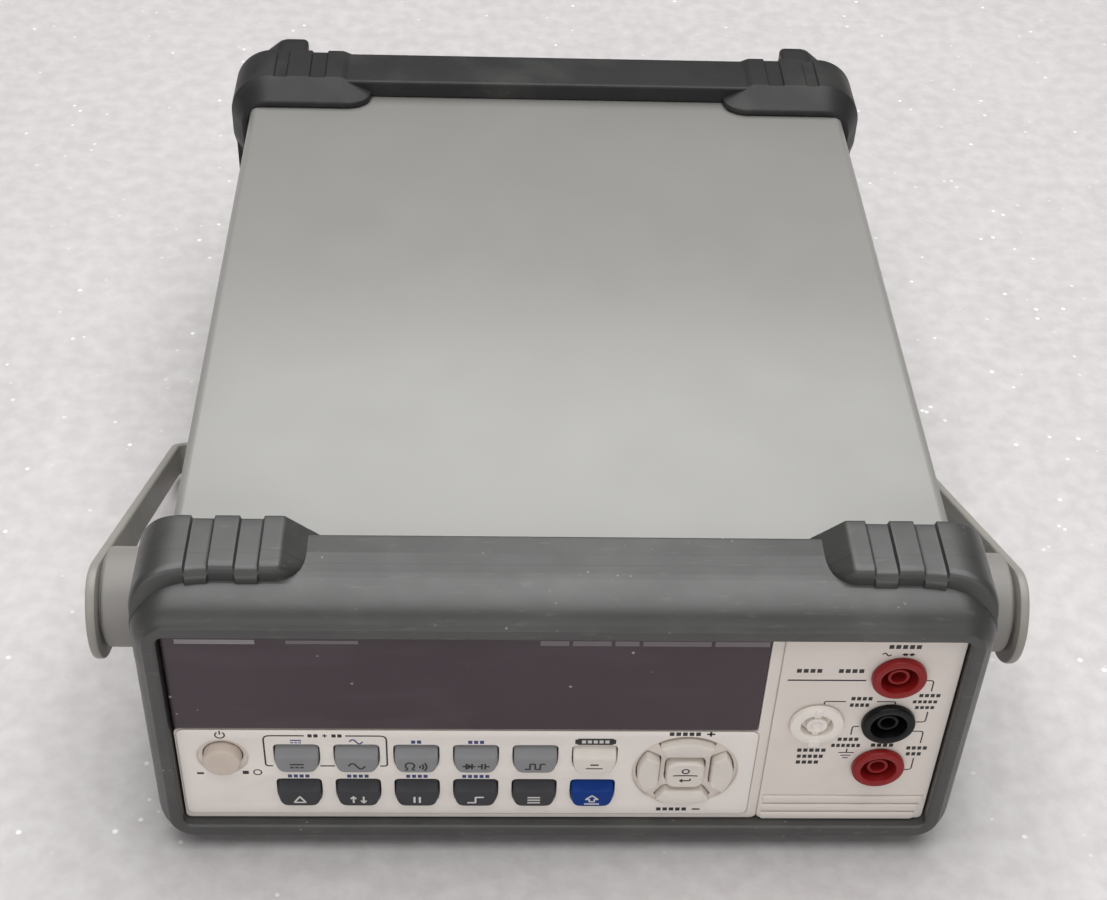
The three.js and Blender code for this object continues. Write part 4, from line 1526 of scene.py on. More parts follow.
@dataclass
class Fascia:
    """The pale front panel, its printed overlay, and the terminal panel with its stepped foot."""

    overlay_right: float = 54.9
    overlay_low: float = 14.4
    sill: float = 51.3
    key_gap: float = 0.4
    first_key: float = -73.7
    pitch: float = 16.66
    rows: Flat = (39.9, 24.8)
    cursor: Flat = (35.6, 33.9)
    power: Flat = (-94.4, 39.8)
    terminal_holes: tuple[Placed, ...] = (
        (90.3, 74.85, 6.35), (90.3, 55.8, 6.35), (90.3, 36.75, 6.35), (70.4, 55.4, 6.95))
    foot_bars: Placed = (23.1, 19.3, 15.6)
    film_front: float = PANEL_FRONT - 0.22

    def key_places(self) -> list[Flat]:
        """Gives the keys' centres, row by row."""
        return [(self.first_key + i * self.pitch, z) for z in self.rows for i in range(6)]

    def holes(self) -> list[Loop]:
        """Gives the openings for the twelve function keys."""
        return [KeyShape().outline(x, z, self.key_gap) for x, z in self.key_places()]

    def lower_panel(self) -> Mesh:
        """Builds the key panel, the upright beside the window and the window's backing."""
        right = SEAM - 0.2
        outline = soften([(-PANEL_HALF, PANEL_LOW), (right, PANEL_LOW), (right, self.sill),
                          (-PANEL_HALF, self.sill)], 1.8, 5)
        x, z = self.cursor
        cursor = CursorPad()
        pads = [*(cursor.outline(quarter, self.key_gap) for quarter in range(4)), cursor.middle(self.key_gap)]
        power_hole = circle_loop(*self.power, 5.7, 48)
        loops = [outline, *self.holes(), *pads, power_hole]
        plate = flat_plate("lower", loops, PANEL_FRONT, PANEL_REAR, 0.25)
        side = [(54.7, 16.5), (right, 16.5), (right, PANEL_HIGH), (54.7, PANEL_HIGH)]
        upright = flat_plate("upright", [side], PANEL_FRONT, PANEL_REAR, 0.25)
        behind = [(-106.4, 49.3), (right, 49.3), (right, PANEL_HIGH), (-106.4, PANEL_HIGH)]
        backing = flat_plate("backing", [behind, rounded_loop(-97, 42, 57, 85, 1)], 5.5, 7.7, 0.1)
        rings = [turned("ring", [(0, 1.5), (15.0, 1.5), (15.0, 3.45), (14.75, 3.7), (0, 3.7)], (x, 0, z)),
                 turned("ring", [(0, 1.5), (7.15, 1.5), (7.15, 3.5), (6.95, 3.7), (0, 3.7)],
                        (self.power[0], 0, self.power[1]), steps=64)]
        seam = block_mesh("seam", right - 0.6, SEAM + 0.12, PANEL_FRONT + 0.5, PANEL_REAR, PANEL_LOW + 0.3,
                          PANEL_HIGH - 0.2, 0.05)
        edge = self.overlay_outline()
        groove = flat_plate("groove", [inset(edge, -0.42), inset(edge, 0.4)], 2.0, PANEL_FRONT + 0.45, 0.05)
        return carve("front_panel_moulding", [plate, upright, backing, seam], [*rings, groove])

    def overlay_outline(self) -> Loop:
        """Gives the overlay's outline, with round corners."""
        return soften([(-106.2, self.overlay_low), (self.overlay_right, self.overlay_low),
                       (self.overlay_right, self.sill - 0.1), (-106.2, self.sill - 0.1)], 2.2, 8)

    def overlay(self) -> Mesh:
        """Builds the thin printed overlay round the keys."""
        x, z = self.cursor
        loops = [self.overlay_outline(), *self.holes(), circle_loop(x, z, 15.25, 96),
                 circle_loop(*self.power, 7.4, 64)]
        return flat_plate("key_overlay", loops, self.film_front, PANEL_FRONT + 0.08, 0.07)

    def terminal_panel(self) -> Mesh:
        """Builds the terminal panel with three bars across its foot, each under a fine groove."""
        left = SEAM + 0.2
        outline = soften([(left, PANEL_LOW), (PANEL_HALF, PANEL_LOW), (PANEL_HALF, PANEL_HIGH),
                          (left, PANEL_HIGH)], 1.8, 5)
        holes = [circle_loop(x, z, radius, 48) for x, z, radius in self.terminal_holes]
        plate = flat_plate("terminal", [outline, *holes], PANEL_FRONT, PANEL_REAR, 0.25)
        bars, lines = [plate], []
        for i, high in enumerate(self.foot_bars):
            right = 105.9 - i * 0.75
            bars.append(flat_plate("bar", [rounded_loop(left + 0.9, right, high - 3.35, high - 0.3, 1.1, 5)],
                                   PANEL_FRONT - 0.42, PANEL_FRONT + 0.9, 0.38))
            lines.append(block_mesh("line", left + 0.9, right, 2.0, PANEL_FRONT + 0.45, high - 0.4,
                                    high + 0.02, 0.05))
        return carve("terminal_panel_moulding", bars, lines)

    def film_face(self, _x: float, _z: float) -> float:
        """Gives the depth of the overlay's front."""
        return self.film_front

    def print_keys(self) -> None:
        """Prints the marks over and round the keys."""
        blue = Printing(0.45)
        places = self.key_places()
        above = self.rows[0] + 6.6
        DIRECT_CURRENT.draw(blue, places[0][0], above, 1.4)
        SINE.draw(blue, places[1][0], above, 1.4)
        for index, count in ((2, 2), (3, 3), (6, 4), (7, 4), (8, 4), (9, 5)):
            x, z = places[index]
            blue.blocks(x, z + 6.55, count, 1.35)
        dark = Printing(0.48)
        low, high, left, right = 35.9, 49.0, -82.6, -48.6
        dark.bent((-71.3, high), (left, high), (left, low), (-80.6, low), radius=1.9, steps=6)
        dark.stroke([(-67.4, low), (-63.3, low)])
        dark.bent((-59.9, high), (right, high), (right, low), (-50.6, low), radius=1.9, steps=6)
        dark.blocks(-68.9, high, 2, 1.3).blocks(-62.3, high, 2, 1.3)
        dark.bar(-65.6, high, 1.3, 0.4).stroke([(-65.6, high - 0.65), (-65.6, high + 0.65)], 0.4)
        x, z = self.power
        dark.stroke(arc_line((x, z + 9.4), 1.3, -235, 55), 0.42).stroke([(x, z + 9.6), (x, z + 11.2)], 0.42)
        dark.stroke([(x - 7.7, z - 7.3), (x - 5.8, z - 7.3)], 0.8)
        dark.stroke([(x + 5.1, z - 6.9), (x + 6.8, z - 6.9)], 1.4)
        dark.stroke(circle_loop(x + 9.3, z - 6.8, 1.1, 24), 0.38, closed=True)
        cx, cz = self.cursor
        dark.bar(cx + 6.0, cz + 16.4, 2.3, 0.6).stroke([(cx + 6.0, cz + 15.4), (cx + 6.0, cz + 17.4)], 0.6)
        dark.bar(cx + 4.6, cz - 17.3, 2.3, 0.6)
        dark.blocks(cx - 1.2, cz + 16.4, 5, 1.5, 1.3).blocks(cx - 2.6, cz - 17.3, 5, 1.4, 1.3)
        tag_x = places[5][0]
        tag = Printing()
        tag.stroke([(tag_x - 5.0, above + 0.35), (tag_x + 5.0, above + 0.35)], 2.7)
        for end in (-1, 1):
            tag.stroke([(tag_x + end * 5.0, above + 0.35), (tag_x + end * 5.7, above + 0.35)], 1.9)
        tag.lay("second_tag", self.film_face, DARK_INK)
        line = Printing(0.4, film=0.06)
        line.blocks(tag_x, above + 0.35, 5, 1.25)
        line.lay("second_tag_line", self.film_face, WHITE_INK, slot="white_plastic")
        blue.lay("blue_key_marks", self.film_face, BLUE_INK, slot="blue_key")
        dark.lay("dark_key_marks", self.film_face, DARK_INK)

    def print_terminals(self) -> None:
        """Prints the lines that join the sockets, with blocks where ratings would stand."""
        ink = Printing(0.38)
        ink.bar(71.0, 72.9, 21.4, 0.5)
        ink.blocks(65.8, 76.7, 4, 1.5, 1.3).blocks(77.2, 76.7, 4, 1.5, 1.3)
        ink.blocks(90.3, 86.4, 5, 1.5, 1.3)
        SINE.draw(ink, 85.8, 83.4, 0.9)
        DIODE.draw(ink, 91.6, 83.4, 0.8)
        ink.bent((71.6, 63.0), (71.6, 64.2), (77.4, 64.2))
        ink.bent((86.0, 64.2), (91.2, 64.2), (91.2, 63.1))
        ink.blocks(81.7, 65.4, 4, 1.4, 1.1).blocks(81.4, 62.7, 4, 1.4, 1.0)
        ink.bent((98.0, 73.0), (100.3, 73.0), (100.3, 68.6))
        ink.blocks(100.2, 66.8, 4, 1.3, 1.1).blocks(99.3, 64.2, 5, 1.2, 1.0).blocks(99.6, 61.8, 4, 1.2, 1.0)
        ink.bent((100.8, 60.0), (100.8, 55.7), (98.2, 55.7))
        ink.bent((82.6, 53.7), (80.8, 53.7), (80.8, 50.1))
        ink.blocks(80.3, 48.1, 4, 1.4, 1.1).blocks(80.0, 45.4, 6, 1.4, 1.0)
        ink.stroke([(80.6, 43.9), (80.6, 42.4)])
        for size, z in ((4.4, 42.3), (2.9, 41.1), (1.5, 40.0)):
            ink.bar(80.6, z, size, 0.36)
        ink.bent((98.0, 51.7), (101.0, 51.7), (101.0, 46.6))
        ink.blocks(100.3, 44.4, 4, 1.4, 1.1).blocks(99.8, 41.8, 3, 1.4, 1.1)
        ink.bent((100.2, 39.9), (100.2, 34.8), (98.0, 34.8))
        ink.blocks(90.3, 45.6, 4, 1.4, 1.2)
        ink.blocks(70.6, 43.3, 5, 1.4, 1.2).blocks(70.5, 40.6, 5, 1.4, 1.1).blocks(70.0, 38.0, 4, 1.4, 1.2)
        ink.lay("terminal_marks", panel_face, DARK_INK)

    def build(self) -> None:
        """Builds the panels and prints them."""
        mount("front_panel_moulding", self.lower_panel(), FASCIA, "case", "pale_plastic", "front_panel")
        mount("key_overlay", self.overlay(), OVERLAY, "case", "pale_plastic")
        mount("terminal_panel_moulding", self.terminal_panel(), FASCIA, "case", "pale_plastic",
              "terminal_panel")
        self.print_keys()
        self.print_terminals()


@dataclass
class Window:
    """The smoked window, with plain grey strips printed along its upper edge."""

    left: float = -106.8
    right: float = 54.4
    low: float = 51.6
    row_start: float = -7.0
    row_lengths: tuple[float, ...] = (7.6, 10.2, 6.4, 18.2, 14.6)

    def build(self) -> None:
        """Builds the pane and its strips."""
        outline = soften([(self.left, self.low), (self.right, self.low), (self.right, PANEL_HIGH),
                          (self.left, PANEL_HIGH)], 0.8, 4)
        pane = flat_plate("window_pane", [outline], PANEL_FRONT, 5.2, 0.3)
        mount("window_pane", pane, WINDOW_PANE, "case", "smoked_window", "display_window")
        strips = Printing(film=0.02)
        strips.bar(-92.6, 86.9, 21.0, 1.7)
        strips.lay("window_strip", panel_face, PALE_STRIP, slot="white_plastic")
        row = Printing(film=0.02)
        row.bar(-64.5, 86.9, 19.0, 1.3)
        start = self.row_start
        for length in self.row_lengths:
            row.bar(start + length / 2, 87.0, length, 1.9)
            start += length + 1.0
        row.lay("window_strips_grey", panel_face, GREY_STRIP, slot="white_plastic")


@dataclass
class Keypad:
    """The twelve function keys."""

    names: tuple[str, ...] = ("volts_dc", "volts_ac", "ohms", "diode", "frequency", "second",
                              "relative", "extremes", "hold", "trigger", "menu", "shift")
    signs: tuple[Sign, ...] = (DIRECT_CURRENT, SINE, RESISTANCE, DIODE, SQUARE_WAVE, TWO_LINES,
                               DELTA, UP_DOWN, PAUSE, RISING_EDGE, THREE_LINES, ARROW_ON_LINE)
    edge: float = 0.55
    pale: str = "second"
    blue: str = "shift"
    row: int = 6

    def look(self, index: int) -> tuple[Finish, str, Finish]:
        """Gives a key's finish, its slot and the ink of its mark.

        Args:
            index: The key's number, row by row.

        Returns:
            The finish, the slot's name and the ink.
        """
        if self.names[index] == self.pale:
            return PALE_KEY, "pale_plastic", DARK_INK
        if self.names[index] == self.blue:
            return BLUE_KEY, "blue_key", WHITE_INK
        return (GREY_KEY, "grey_key", DARK_INK) if index < self.row else (DARK_KEY, "dark_key", WHITE_INK)

    def build(self) -> None:
        """Builds the keys and prints their marks."""
        shape = KeyShape()
        for index, ((x, z), name) in enumerate(zip(Fascia().key_places(), self.names)):
            def face(_x: float, height: float, centre: float = z) -> float:
                """Gives the depth of this key's face."""
                return shape.face(_x, height, centre)

            finish, slot, ink = self.look(index)
            cap = cap_loft(f"{name}_cap", shape.outline(x, z, 0), face, FLANGE_FRONT, self.edge, 16)
            flange = flat_plate(f"{name}_flange", [rounded_loop(x - 6.6, x + 6.6, z - 5.5, z + 5.5, 1)],
                                FLANGE_FRONT, FLANGE_REAR, 0.1)
            mount(f"{name}_cap", carve(f"{name}_cap", [cap, flange]), finish, name, slot, f"{name}_key")
            mark = Printing(0.52, film=0.03)
            self.signs[index].draw(mark, x, z - 2.1, 1.8)
            mark.lay(f"{name}_mark", face, ink, name, slot)


@dataclass
class CursorPad:
    """Four arc keys round a rounded square key."""

    x: float = 35.6
    z: float = 33.9
    outer: float = 13.6
    inner: float = 7.4
    spread: float = 35.0
    names: tuple[str, ...] = ("cursor_up", "cursor_left", "cursor_down", "cursor_right")

    def outline(self, quarter: int, grow: float) -> Loop:
        """Gives an arc key's outline.

        Args:
            quarter: How many quarter turns it stands from the top.
            grow: How far outside the cap it runs.

        Returns:
            The outline.
        """
        outer = self.outer + grow
        wide = self.spread + math.degrees(grow / outer)
        across = 5.4 + grow
        edge = [(across, self.inner - grow), *arc((0, 0), outer, 90 - wide, 90 + wide, 14),
                (-across, self.inner - grow)]
        turn = math.radians(90 * quarter)
        return [(self.x + a * math.cos(turn) - b * math.sin(turn),
                 self.z + a * math.sin(turn) + b * math.cos(turn))
                for a, b in soften(edge, 0.9, 4)]

    def middle(self, grow: float) -> Loop:
        """Gives the centre key's outline."""
        half = 5.4 + grow
        return rounded_loop(self.x - half, self.x + half, self.z - half, self.z + half, 3, 7)

    def arc_face(self, x: float, z: float) -> float:
        """Gives the depth of the arc keys: highest along the middle of the arc."""
        reach = math.hypot(x - self.x, z - self.z)
        return 1.0 + 0.055 * (reach - 11.2) ** 2 * (1.7 if reach < 11.2 else 0.6)

    def middle_face(self, x: float, z: float) -> float:
        """Gives the depth of the centre key: a shallow dish."""
        return 1.25 - 0.008 * ((x - self.x) ** 2 + (z - self.z) ** 2)

    def build(self) -> None:
        """Builds the five keys and the mark on the centre one."""
        for quarter, name in enumerate(self.names):
            outline = self.outline(quarter, 0)
            cap = cap_loft(f"{name}_cap", outline, self.arc_face, FLANGE_FRONT, 0.5, 10)
            flange = flat_plate(f"{name}_flange", [self.outline(quarter, 0.6)], FLANGE_FRONT, FLANGE_REAR,
                                0.1)
            mesh = carve(f"{name}_cap", [cap, flange])
            mount(f"{name}_cap", mesh, PALE_KEY, name, "pale_plastic", f"{name}_key")
        cap = cap_loft("enter_cap", self.middle(0), self.middle_face, FLANGE_FRONT, 0.9, 12)
        flange = flat_plate("enter_flange", [self.middle(0.6)], FLANGE_FRONT, FLANGE_REAR, 0.1)
        mount("enter_cap", carve("enter_cap", [cap, flange]), PALE_KEY, "enter", "pale_plastic", "enter_key")
        mark = Printing(0.46, film=0.03)
        mark.bar(self.x, self.z, 7.0)
        mark.stroke(circle_loop(self.x, self.z + 1.9, 0.95, 20), closed=True)
        mark.stroke([(self.x + 1.5, self.z - 1.3), (self.x + 1.5, self.z - 2.2),
                     (self.x - 1.4, self.z - 2.2)])
        mark.stroke([(self.x - 0.7, self.z - 1.6), (self.x - 1.4, self.z - 2.2),
                     (self.x - 0.7, self.z - 2.8)])
        mark.lay("enter_mark", self.middle_face, DARK_INK, "enter", "dark_key")


@dataclass
class PowerButton:
    """The round latching button, as a profile of radius and depth."""

    profile: tuple[Flat, ...] = (
        (0, 0.10), (2.5, 0.08), (4.3, 0.06), (4.75, 0.10), (5.05, 0.25), (5.22, 0.55), (5.28, 1.0),
        (5.35, 4.0),
        (5.35, 7.45), (6.3, 7.5), (6.4, 7.6), (6.4, 8.7), (0, 8.7))

    def build(self) -> None:
        """Builds the button's cap."""
        cap = turned("power_cap", self.profile, front_centre("power_button"))
        mount("power_cap", cap, POWER_KEY, "power", "pale_plastic", "power_button")


@dataclass
class Sockets:
    """Three shrouded safety sockets for 4 mm plugs, as profiles of radius and depth."""

    profile: tuple[Flat, ...] = (
        (5.0, 1.3), (5.12, 1.02), (5.35, 0.92), (6.8, 0.92), (7.2, 1.05), (7.42, 1.4), (7.45, 1.8),
        (7.45, 2.7),
        (6.0, 2.7), (6.0, 30.0), (2.6, 30.0), (2.6, 12.0), (2.05, 11.6), (2.05, 2.7), (2.15, 2.48),
        (2.35, 2.4),
        (2.7, 2.4), (2.92, 2.48), (3.02, 2.7), (3.05, 26.0), (5.0, 26.0))
    spring: tuple[Flat, ...] = (
        (0, 32), (1.95, 32), (2.0, 31.8), (2.0, 12.9), (2.1, 12.6), (2.3, 12.5), (2.3, 38), (0, 38))

    def build(self) -> None:
        """Builds the three sockets and their contacts."""
        for name, finish, slot in (("volts", RED_SOCKET, "red_plastic"),
                                   ("common", BLACK_SOCKET, "black_plastic"),
                                   ("amps", RED_SOCKET, "red_plastic")):
            centre = front_centre(f"{name}_jack")
            socket = turned(f"{name}_socket", self.profile, centre)
            mount(f"{name}_socket", socket, finish, "case", slot, f"{name}_jack")
            contact = turned(f"{name}_spring", self.spring, centre, steps=48)
            mount(f"{name}_spring", contact, NICKEL, "case", "brass", f"{name}_contact")


@dataclass
class FuseHolder:
    """The panel fuse: a white flange and its bayonet knob, as profiles of radius and depth."""

    body: tuple[Flat, ...] = (
        (0, 44), (3.8, 44), (3.8, 14), (5.25, 14), (5.25, 4.6), (4.45, 4.3), (4.45, 1.55), (4.6, 1.27),
        (4.95, 1.2), (6.9, 1.2), (7.3, 1.35), (7.48, 1.7), (7.5, 2.7), (6.6, 2.7), (6.6, 46), (0, 46))
    knob: tuple[Flat, ...] = (
        (0, 1.95), (1.25, 1.95), (1.5, 1.8), (1.6, 1.55), (1.8, 1.4), (2.6, 1.4), (2.88, 1.52), (2.98, 1.85),
        (3.0, 3.6), (4.1, 3.7), (4.3, 3.9), (4.3, 12.2), (3.5, 12.2), (3.5, 8.2), (0, 8.2))

    def build(self) -> None:
        """Builds the holder and the knob."""
        centre = front_centre("fuse_holder")
        x, _, z = centre
        holder = turned("fuse_flange", self.body, centre)
        pointer = block_mesh("pointer", x - 1.15, x + 1.15, 0.85, 1.9, z + 4.9, z + 7.2, 0.3)
        tab = block_mesh("tab", x - 1.7, x + 1.7, 0.95, 2.9, z - 8.5, z - 5.6, 0.4)
        flange = carve("fuse_flange", [holder, pointer, tab])
        mount("fuse_flange", flange, WHITE_CAP, "case", "white_plastic", "fuse_holder")
        cap = turned("fuse_knob_cap", self.knob, centre)
        lugs = [block_mesh("lug", x - 1.0, x + 1.0, 1.9, 4.2, z + a, z + b, 0.15)
                for a, b in ((2.6, 4.2), (-4.2, -2.6))]
        knob = carve("fuse_knob_cap", [cap, *lugs])
        mount("fuse_knob_cap", knob, WHITE_CAP, "fuse_knob", "white_plastic", "fuse_cap")


# ---------------------------------------------------------------- handle


@dataclass
class Handle:
    """The strap handle, its pivot discs, the bosses it turns on and their screws.

    The turned pieces are profiles of radius and distance from the meter's middle.
    """

    tilt: float = 27.6
    outer: float = 132.5
    inner: float = 129.7
    reach: float = 134.5
    low: float = 1.8
    high: float = 12.6
    bend: float = 6.0
    disc: float = 17.8
    heel: float = -38.0
    arm_start: float = 3.0
    arm_end: float = 62.0
    edge: float = 0.75
    spacer: tuple[Flat, ...] = ((0, 127.9), (11.7, 127.9), (12, 128.2), (12, 130.7), (0, 130.7))
    bore: tuple[Flat, ...] = (
        (0, 120), (5.3, 120), (5.3, 130.5), (8.1, 130.5), (8.3, 130.7), (8.3, 132.3), (8.6, 132.6),
        (8.6, 140),
        (0, 140))
    boss: tuple[Flat, ...] = (
        (5.3, 107.6), (14.4, 107.6), (14.4, 127.9), (14.25, 128.5), (13.9, 128.85), (13.4, 129.0),
        (12.5, 129.0),
        (12.4, 128.9), (12.4, 127.5), (12.3, 127.4), (5.3, 127.4))
    head: tuple[Flat, ...] = (
        (0, 99), (4.9, 99), (4.9, 130.8), (7.7, 130.8), (8.0, 131.0), (8.0, 131.9), (7.6, 132.25),
        (6.6, 132.4),
        (0, 132.4))

    def place(self, x: float, out: float, across: float) -> Placed:
        """Turns a point of the handle's own frame to its rest place.

        Args:
            x: How far to the right.
            out: How far out along the arm.
            across: How far across the strap.

        Returns:
            The point in millimetres and depth.
        """
        turn = math.radians(self.tilt)
        low, high = extent("left_pivot_screw")
        depth, level = (low[1] + high[1]) / 2, (low[2] + high[2]) / 2
        return (x, depth + out * math.cos(turn) + across * math.sin(turn),
                level - out * math.sin(turn) + across * math.cos(turn))

    def lower_edge(self, out: float) -> float:
        """Gives the strap's lower edge, which rises from the disc's heel to the arm.

        Args:
            out: Distance out from the pivot.

        Returns:
            The edge's place across the strap.
        """
        if out >= self.arm_end:
            return self.low
        start = (self.disc * math.cos(math.radians(self.heel)), self.disc * math.sin(math.radians(self.heel)))
        if out <= start[0]:
            return start[1] + 0.8
        low, high = 0.0, 1.0
        for _ in range(30):
            mid = (low + high) / 2
            spot = start[0] * (1 - mid) ** 2 + 2 * 28 * mid * (1 - mid) + self.arm_end * mid ** 2
            low, high = (mid, high) if spot < out else (low, mid)
        return start[1] * (1 - low) ** 2 + 2 * (self.low - 2) * low * (1 - low) + self.low * low ** 2

    def path(self) -> list[tuple[float, float, float, float]]:
        """Gives the strap's way from one pivot to the other: X, distance out, and the outward direction."""
        middle = (self.outer + self.inner) / 2
        thick = self.outer - self.inner
        radius = self.bend - thick / 2
        arms = [self.arm_start + (self.reach - self.bend - self.arm_start) * i / 40 for i in range(41)]
        way = [(-middle, out, -1.0, 0.0) for out in arms]
        centre = (middle - radius, self.reach - self.bend)
        for i in range(1, 12):
            turn = math.pi / 2 * i / 12
            way.append((-centre[0] - radius * math.cos(turn), centre[1] + radius * math.sin(turn),
                        -math.cos(turn), math.sin(turn)))
        for i in range(9):
            way.append((-centre[0] + 2 * centre[0] * i / 8, centre[1] + radius, 0.0, 1.0))
        for i in range(11, 0, -1):
            turn = math.pi / 2 * i / 12
            way.append((centre[0] + radius * math.cos(turn), centre[1] + radius * math.sin(turn),
                        math.cos(turn), math.sin(turn)))
        return way + [(middle, out, 1.0, 0.0) for out in reversed(arms)]

    def strap(self) -> Mesh:
        """Sweeps the strap from pivot to pivot."""
        draft = Draft()
        half = (self.outer - self.inner) / 2
        rings = []
        for x, out, nx, ny in self.path():
            low = self.lower_edge(out)
            section = rounded_loop(-half, half, low, self.high, self.edge, 4)
            rings.append(draft.ring(self.place(x + nx * u, out + ny * u, v) for u, v in section))
        draft.tube(rings)
        return draft.mesh("strap")

    def end_outline(self) -> Loop:
        """Gives the strap end's outline: most of a disc, cut level with the strap's upper edge."""
        top, r = self.high, self.disc
        corner, last = (-14.1, top), (r * math.cos(math.radians(158)), r * math.sin(math.radians(158)))
        loop: Loop = [(22.0, top), (8.0, top)]
        for i in range(13):
            t = i / 12
            loop.append((-6 * (1 - t) ** 2 + corner[0] * 2 * t * (1 - t) + last[0] * t ** 2,
                         top * (1 - t) ** 2 + corner[1] * 2 * t * (1 - t) + last[1] * t ** 2))
        loop += arc((0, 0), r, 158, 360 + self.heel, 56)[1:]
        return loop + [(22.0, self.lower_edge(22.0))]

    def strap_end(self, side: Side) -> Mesh:
        """Builds one flat end of the strap with rounded edges."""
        draft = Draft()
        rings = []
        e = self.edge
        for drawn_in, x in ((e, self.inner), (e * 0.3, self.inner + e * 0.3), (0.0, self.inner + e),
                            (0.0, self.outer - e), (e * 0.3, self.outer - e * 0.3), (e, self.outer)):
            rings.append(draft.ring(self.place(side.value * x, out, across)
                                    for out, across in inset(self.end_outline(), drawn_in)))
        draft.tube(rings)
        return draft.mesh("strap_end")

    def pivot_lathe(self, side: Side, profile: Sequence[Flat], name: str) -> Mesh:
        """Turns a profile about the pivot axis.

        Args:
            side: The side it is for.
            profile: Radius and distance from the middle.
            name: The mesh's name.

        Returns:
            The turned mesh.
        """
        centre = self.place(0, 0, 0)
        return turned(name, profile, centre, Axis.RIGHT if side is Side.RIGHT else Axis.LEFT)

    def build(self) -> None:
        """Builds the handle and what it turns on."""
        solids, cutters = [self.strap()], []
        for side in Side:
            solids += [self.strap_end(side), self.pivot_lathe(side, self.spacer, "spacer")]
            cutters.append(self.pivot_lathe(side, self.bore, "pivot_hole"))
        handle = carve("strap_handle", solids, cutters)
        mount("strap_handle", handle, STRAP_PAINT, "handle", "handle_steel", "carry_handle")
        for side in Side:
            word = side.name.lower()
            mount(f"{word}_boss", self.pivot_lathe(side, self.boss, f"{word}_boss"), HUB_ABS, "case",
                  "hub_plastic", f"{word}_hub_boss")
            centre = self.place(0, 0, 0)
            x0, x1 = sorted((side.value * (self.outer - 0.9), side.value * (self.outer + 1)))
            slot = block_mesh("slot", x0, x1, centre[1] - 6.4, centre[1] + 6.4, centre[2] - 0.8,
                              centre[2] + 0.8, 0.12)
            screw = carve(f"{word}_screw", [self.pivot_lathe(side, self.head, f"{word}_screw")], [slot])
            mount(f"{word}_screw", screw, NICKEL, "case", "screw_steel", f"{word}_pivot_screw")


# ---------------------------------------------------------------- rear and inside


def dress(node: str, finish: Finish, bevel: float = 0.0) -> None:
    """Gives a CAD node that stays its material, and softens its edges.

    Args:
        node: The CAD node's name.
        finish: Its material.
        bevel: Radius of the softened edges in millimetres.
    """
    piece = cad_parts[node]
    piece.data.materials.clear()
    piece.data.materials.append(finish.material())
    if bevel:
        soft = piece.modifiers.new("edges", "BEVEL")
        soft.width = bevel * MM
        soft.segments = 2
        soft.limit_method = "ANGLE"
        soft.angle_limit = math.radians(40)
        soft.harden_normals = False
    LOG.info("%s: %s", node, finish.name)


@dataclass
class Rear:
    """The rear panel with its inlet, ports and trigger sockets: node, finish and edge radius."""

    looks: tuple[tuple[str, Finish, float], ...] = (
        ("rear_panel", REAR_ENAMEL, 0.15), ("mains_inlet", BLACK_ABS, 0.4),
        ("mains_fuse_drawer", BLACK_ABS, 0.3), ("usb_port", NICKEL, 0.2), ("network_port", NICKEL, 0.2),
        ("trigger_in_socket", NICKEL, 0.12), ("trigger_out_socket", NICKEL, 0.12),
        ("rear_panel_screw_left", ZINC, 0.1), ("rear_panel_screw_right", ZINC, 0.1))

    def build(self) -> None:
        """Dresses every node of the rear panel."""
        for node, finish, bevel in self.looks:
            dress(node, finish, bevel)


@dataclass
class Inside:
    """What stands inside the case: node, finish and edge radius."""

    looks: tuple[tuple[str, Finish, float], ...] = (
        ("chassis_tray", ZINC, 0.1), ("display_glass", DISPLAY_GLASS, 0.2), ("display_board", LAMINATE, 0.0),
        ("key_board", LAMINATE, 0.0), ("keypad_mat", SILICONE, 0.15), ("power_rod", BLACK_ABS, 0.2),
        ("power_switch", BLACK_ABS, 0.4), ("current_fuse", FUSE_GLASS, 0.1), ("main_board", LAMINATE, 0.0),
        ("mains_transformer", VARNISH, 0.6), ("filter_capacitor", SLEEVE, 0.6), ("shield_can", ZINC, 0.3),
        ("range_relay", WHITE_CAP, 0.3), ("ribbon_cable", RIBBON, 0.0))

    def build(self) -> None:
        """Dresses every node inside the case."""
        for node, finish, bevel in self.looks:
            dress(node, finish, bevel)


# ---------------------------------------------------------------- stage and camera


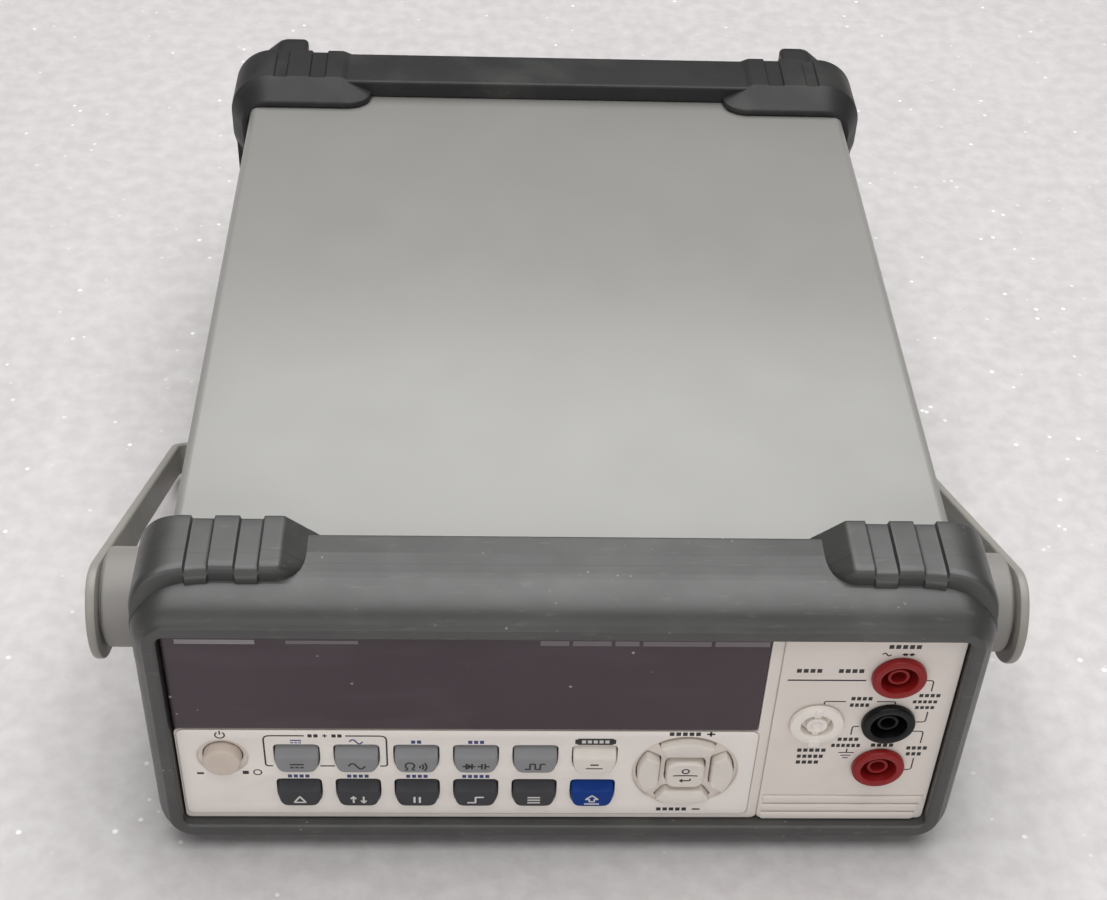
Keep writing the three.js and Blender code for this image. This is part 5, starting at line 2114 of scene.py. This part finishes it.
@dataclass
class Studio:
    """Floor, lights and camera: the ceiling box gives the sheen on top, the others fill the front."""

    lens: float = 59.23
    eye: Placed = (-23.76, -322.25, 444.11)
    tilt: float = 0.7254
    turn: float = 0.0547
    roll: float = -0.0464
    reach: float = 4200
    floor_steps: int = 8
    room: str = "fbfaf9"
    room_strength: float = 0.12
    boxes: tuple[tuple[str, Placed, Placed, Flat, float], ...] = (
        ("ceiling_box", (60, 760, 1500), (60, 740, 0), (1500, 1750), 26.5),
        ("window_box", (0, -450, 1500), (0, -440, 0), (1800, 650), 10),
        ("front_fill", (-200, -2400, 900), (0, 60, 40), (3000, 1100), 19.5))

    def floor(self) -> None:
        """Lays the pale sheet that the meter stands on."""
        draft = Draft()
        lines = [self.reach * (2 * i / self.floor_steps - 1) for i in range(self.floor_steps + 1)]
        rings = [draft.ring((x, depth, 0.0) for x in lines) for depth in lines]
        draft.skin(rings, round_rings=False)
        sheet = add_object("bench_sheet", draft.mesh("bench_sheet"), BENCH)
        if sheet.data.polygons[0].normal.z < 0:
            sheet.data.flip_normals()

    def light(self, name: str, place: Placed, target: Placed, size: Flat, watts: float) -> None:
        """Hangs one soft box of white light.

        Args:
            name: Its name.
            place: Where it hangs.
            target: What it points at.
            size: Its width and height.
            watts: Its power.
        """
        data = bpy.data.lights.new(name, "AREA")
        data.shape = "RECTANGLE"
        data.size, data.size_y = size[0] * MM, size[1] * MM
        data.energy = watts
        lamp = bpy.data.objects.new(name, data)
        lamp.location = at(*place)
        lamp.rotation_euler = (at(*target) - at(*place)).to_track_quat("-Z", "Y").to_euler()
        bpy.context.scene.collection.objects.link(lamp)

    def lights(self) -> None:
        """Hangs the soft boxes in a faintly lit room."""
        for box in self.boxes:
            self.light(*box)
        world = bpy.data.worlds.new("room")
        world.use_nodes = True
        backdrop = world.node_tree.nodes["Background"]
        backdrop.inputs["Color"].default_value = linear(self.room)
        backdrop.inputs["Strength"].default_value = self.room_strength
        bpy.context.scene.world = world

    def camera(self) -> None:
        """Places the camera above and in front of the meter."""
        data = bpy.data.cameras.new("camera")
        data.lens = self.lens
        data.sensor_width = 36
        data.clip_end = 20
        eye = bpy.data.objects.new("camera", data)
        face_ahead = Matrix(((1, 0, 0), (0, 0, 1), (0, -1, 0)))
        tilt = Matrix.Rotation(self.tilt, 3, "X")
        turn = Matrix.Rotation(self.turn, 3, "Z")
        roll = Matrix.Rotation(self.roll, 3, "Z")
        view = roll @ tilt @ face_ahead @ turn
        eye.matrix_world = Matrix.Translation(at(*self.eye)) @ view.transposed().to_4x4()
        bpy.context.scene.collection.objects.link(eye)
        bpy.context.scene.camera = eye

    def build(self) -> None:
        """Builds the whole stage."""
        self.camera()
        self.floor()
        self.lights()
        bpy.context.scene.view_settings.view_transform = "Standard"


def main() -> None:
    """Builds the stage and every visible piece."""
    logging.basicConfig(level=logging.INFO, format="%(name)s %(message)s")
    Studio().build()
    FrontBumper().build()
    RearBumper().build()
    CaseSleeve().build()
    Fascia().build()
    Window().build()
    Keypad().build()
    CursorPad().build()
    PowerButton().build()
    Sockets().build()
    FuseHolder().build()
    Handle().build()
    Rear().build()
    Inside().build()


if __name__ == "__main__":
    main()
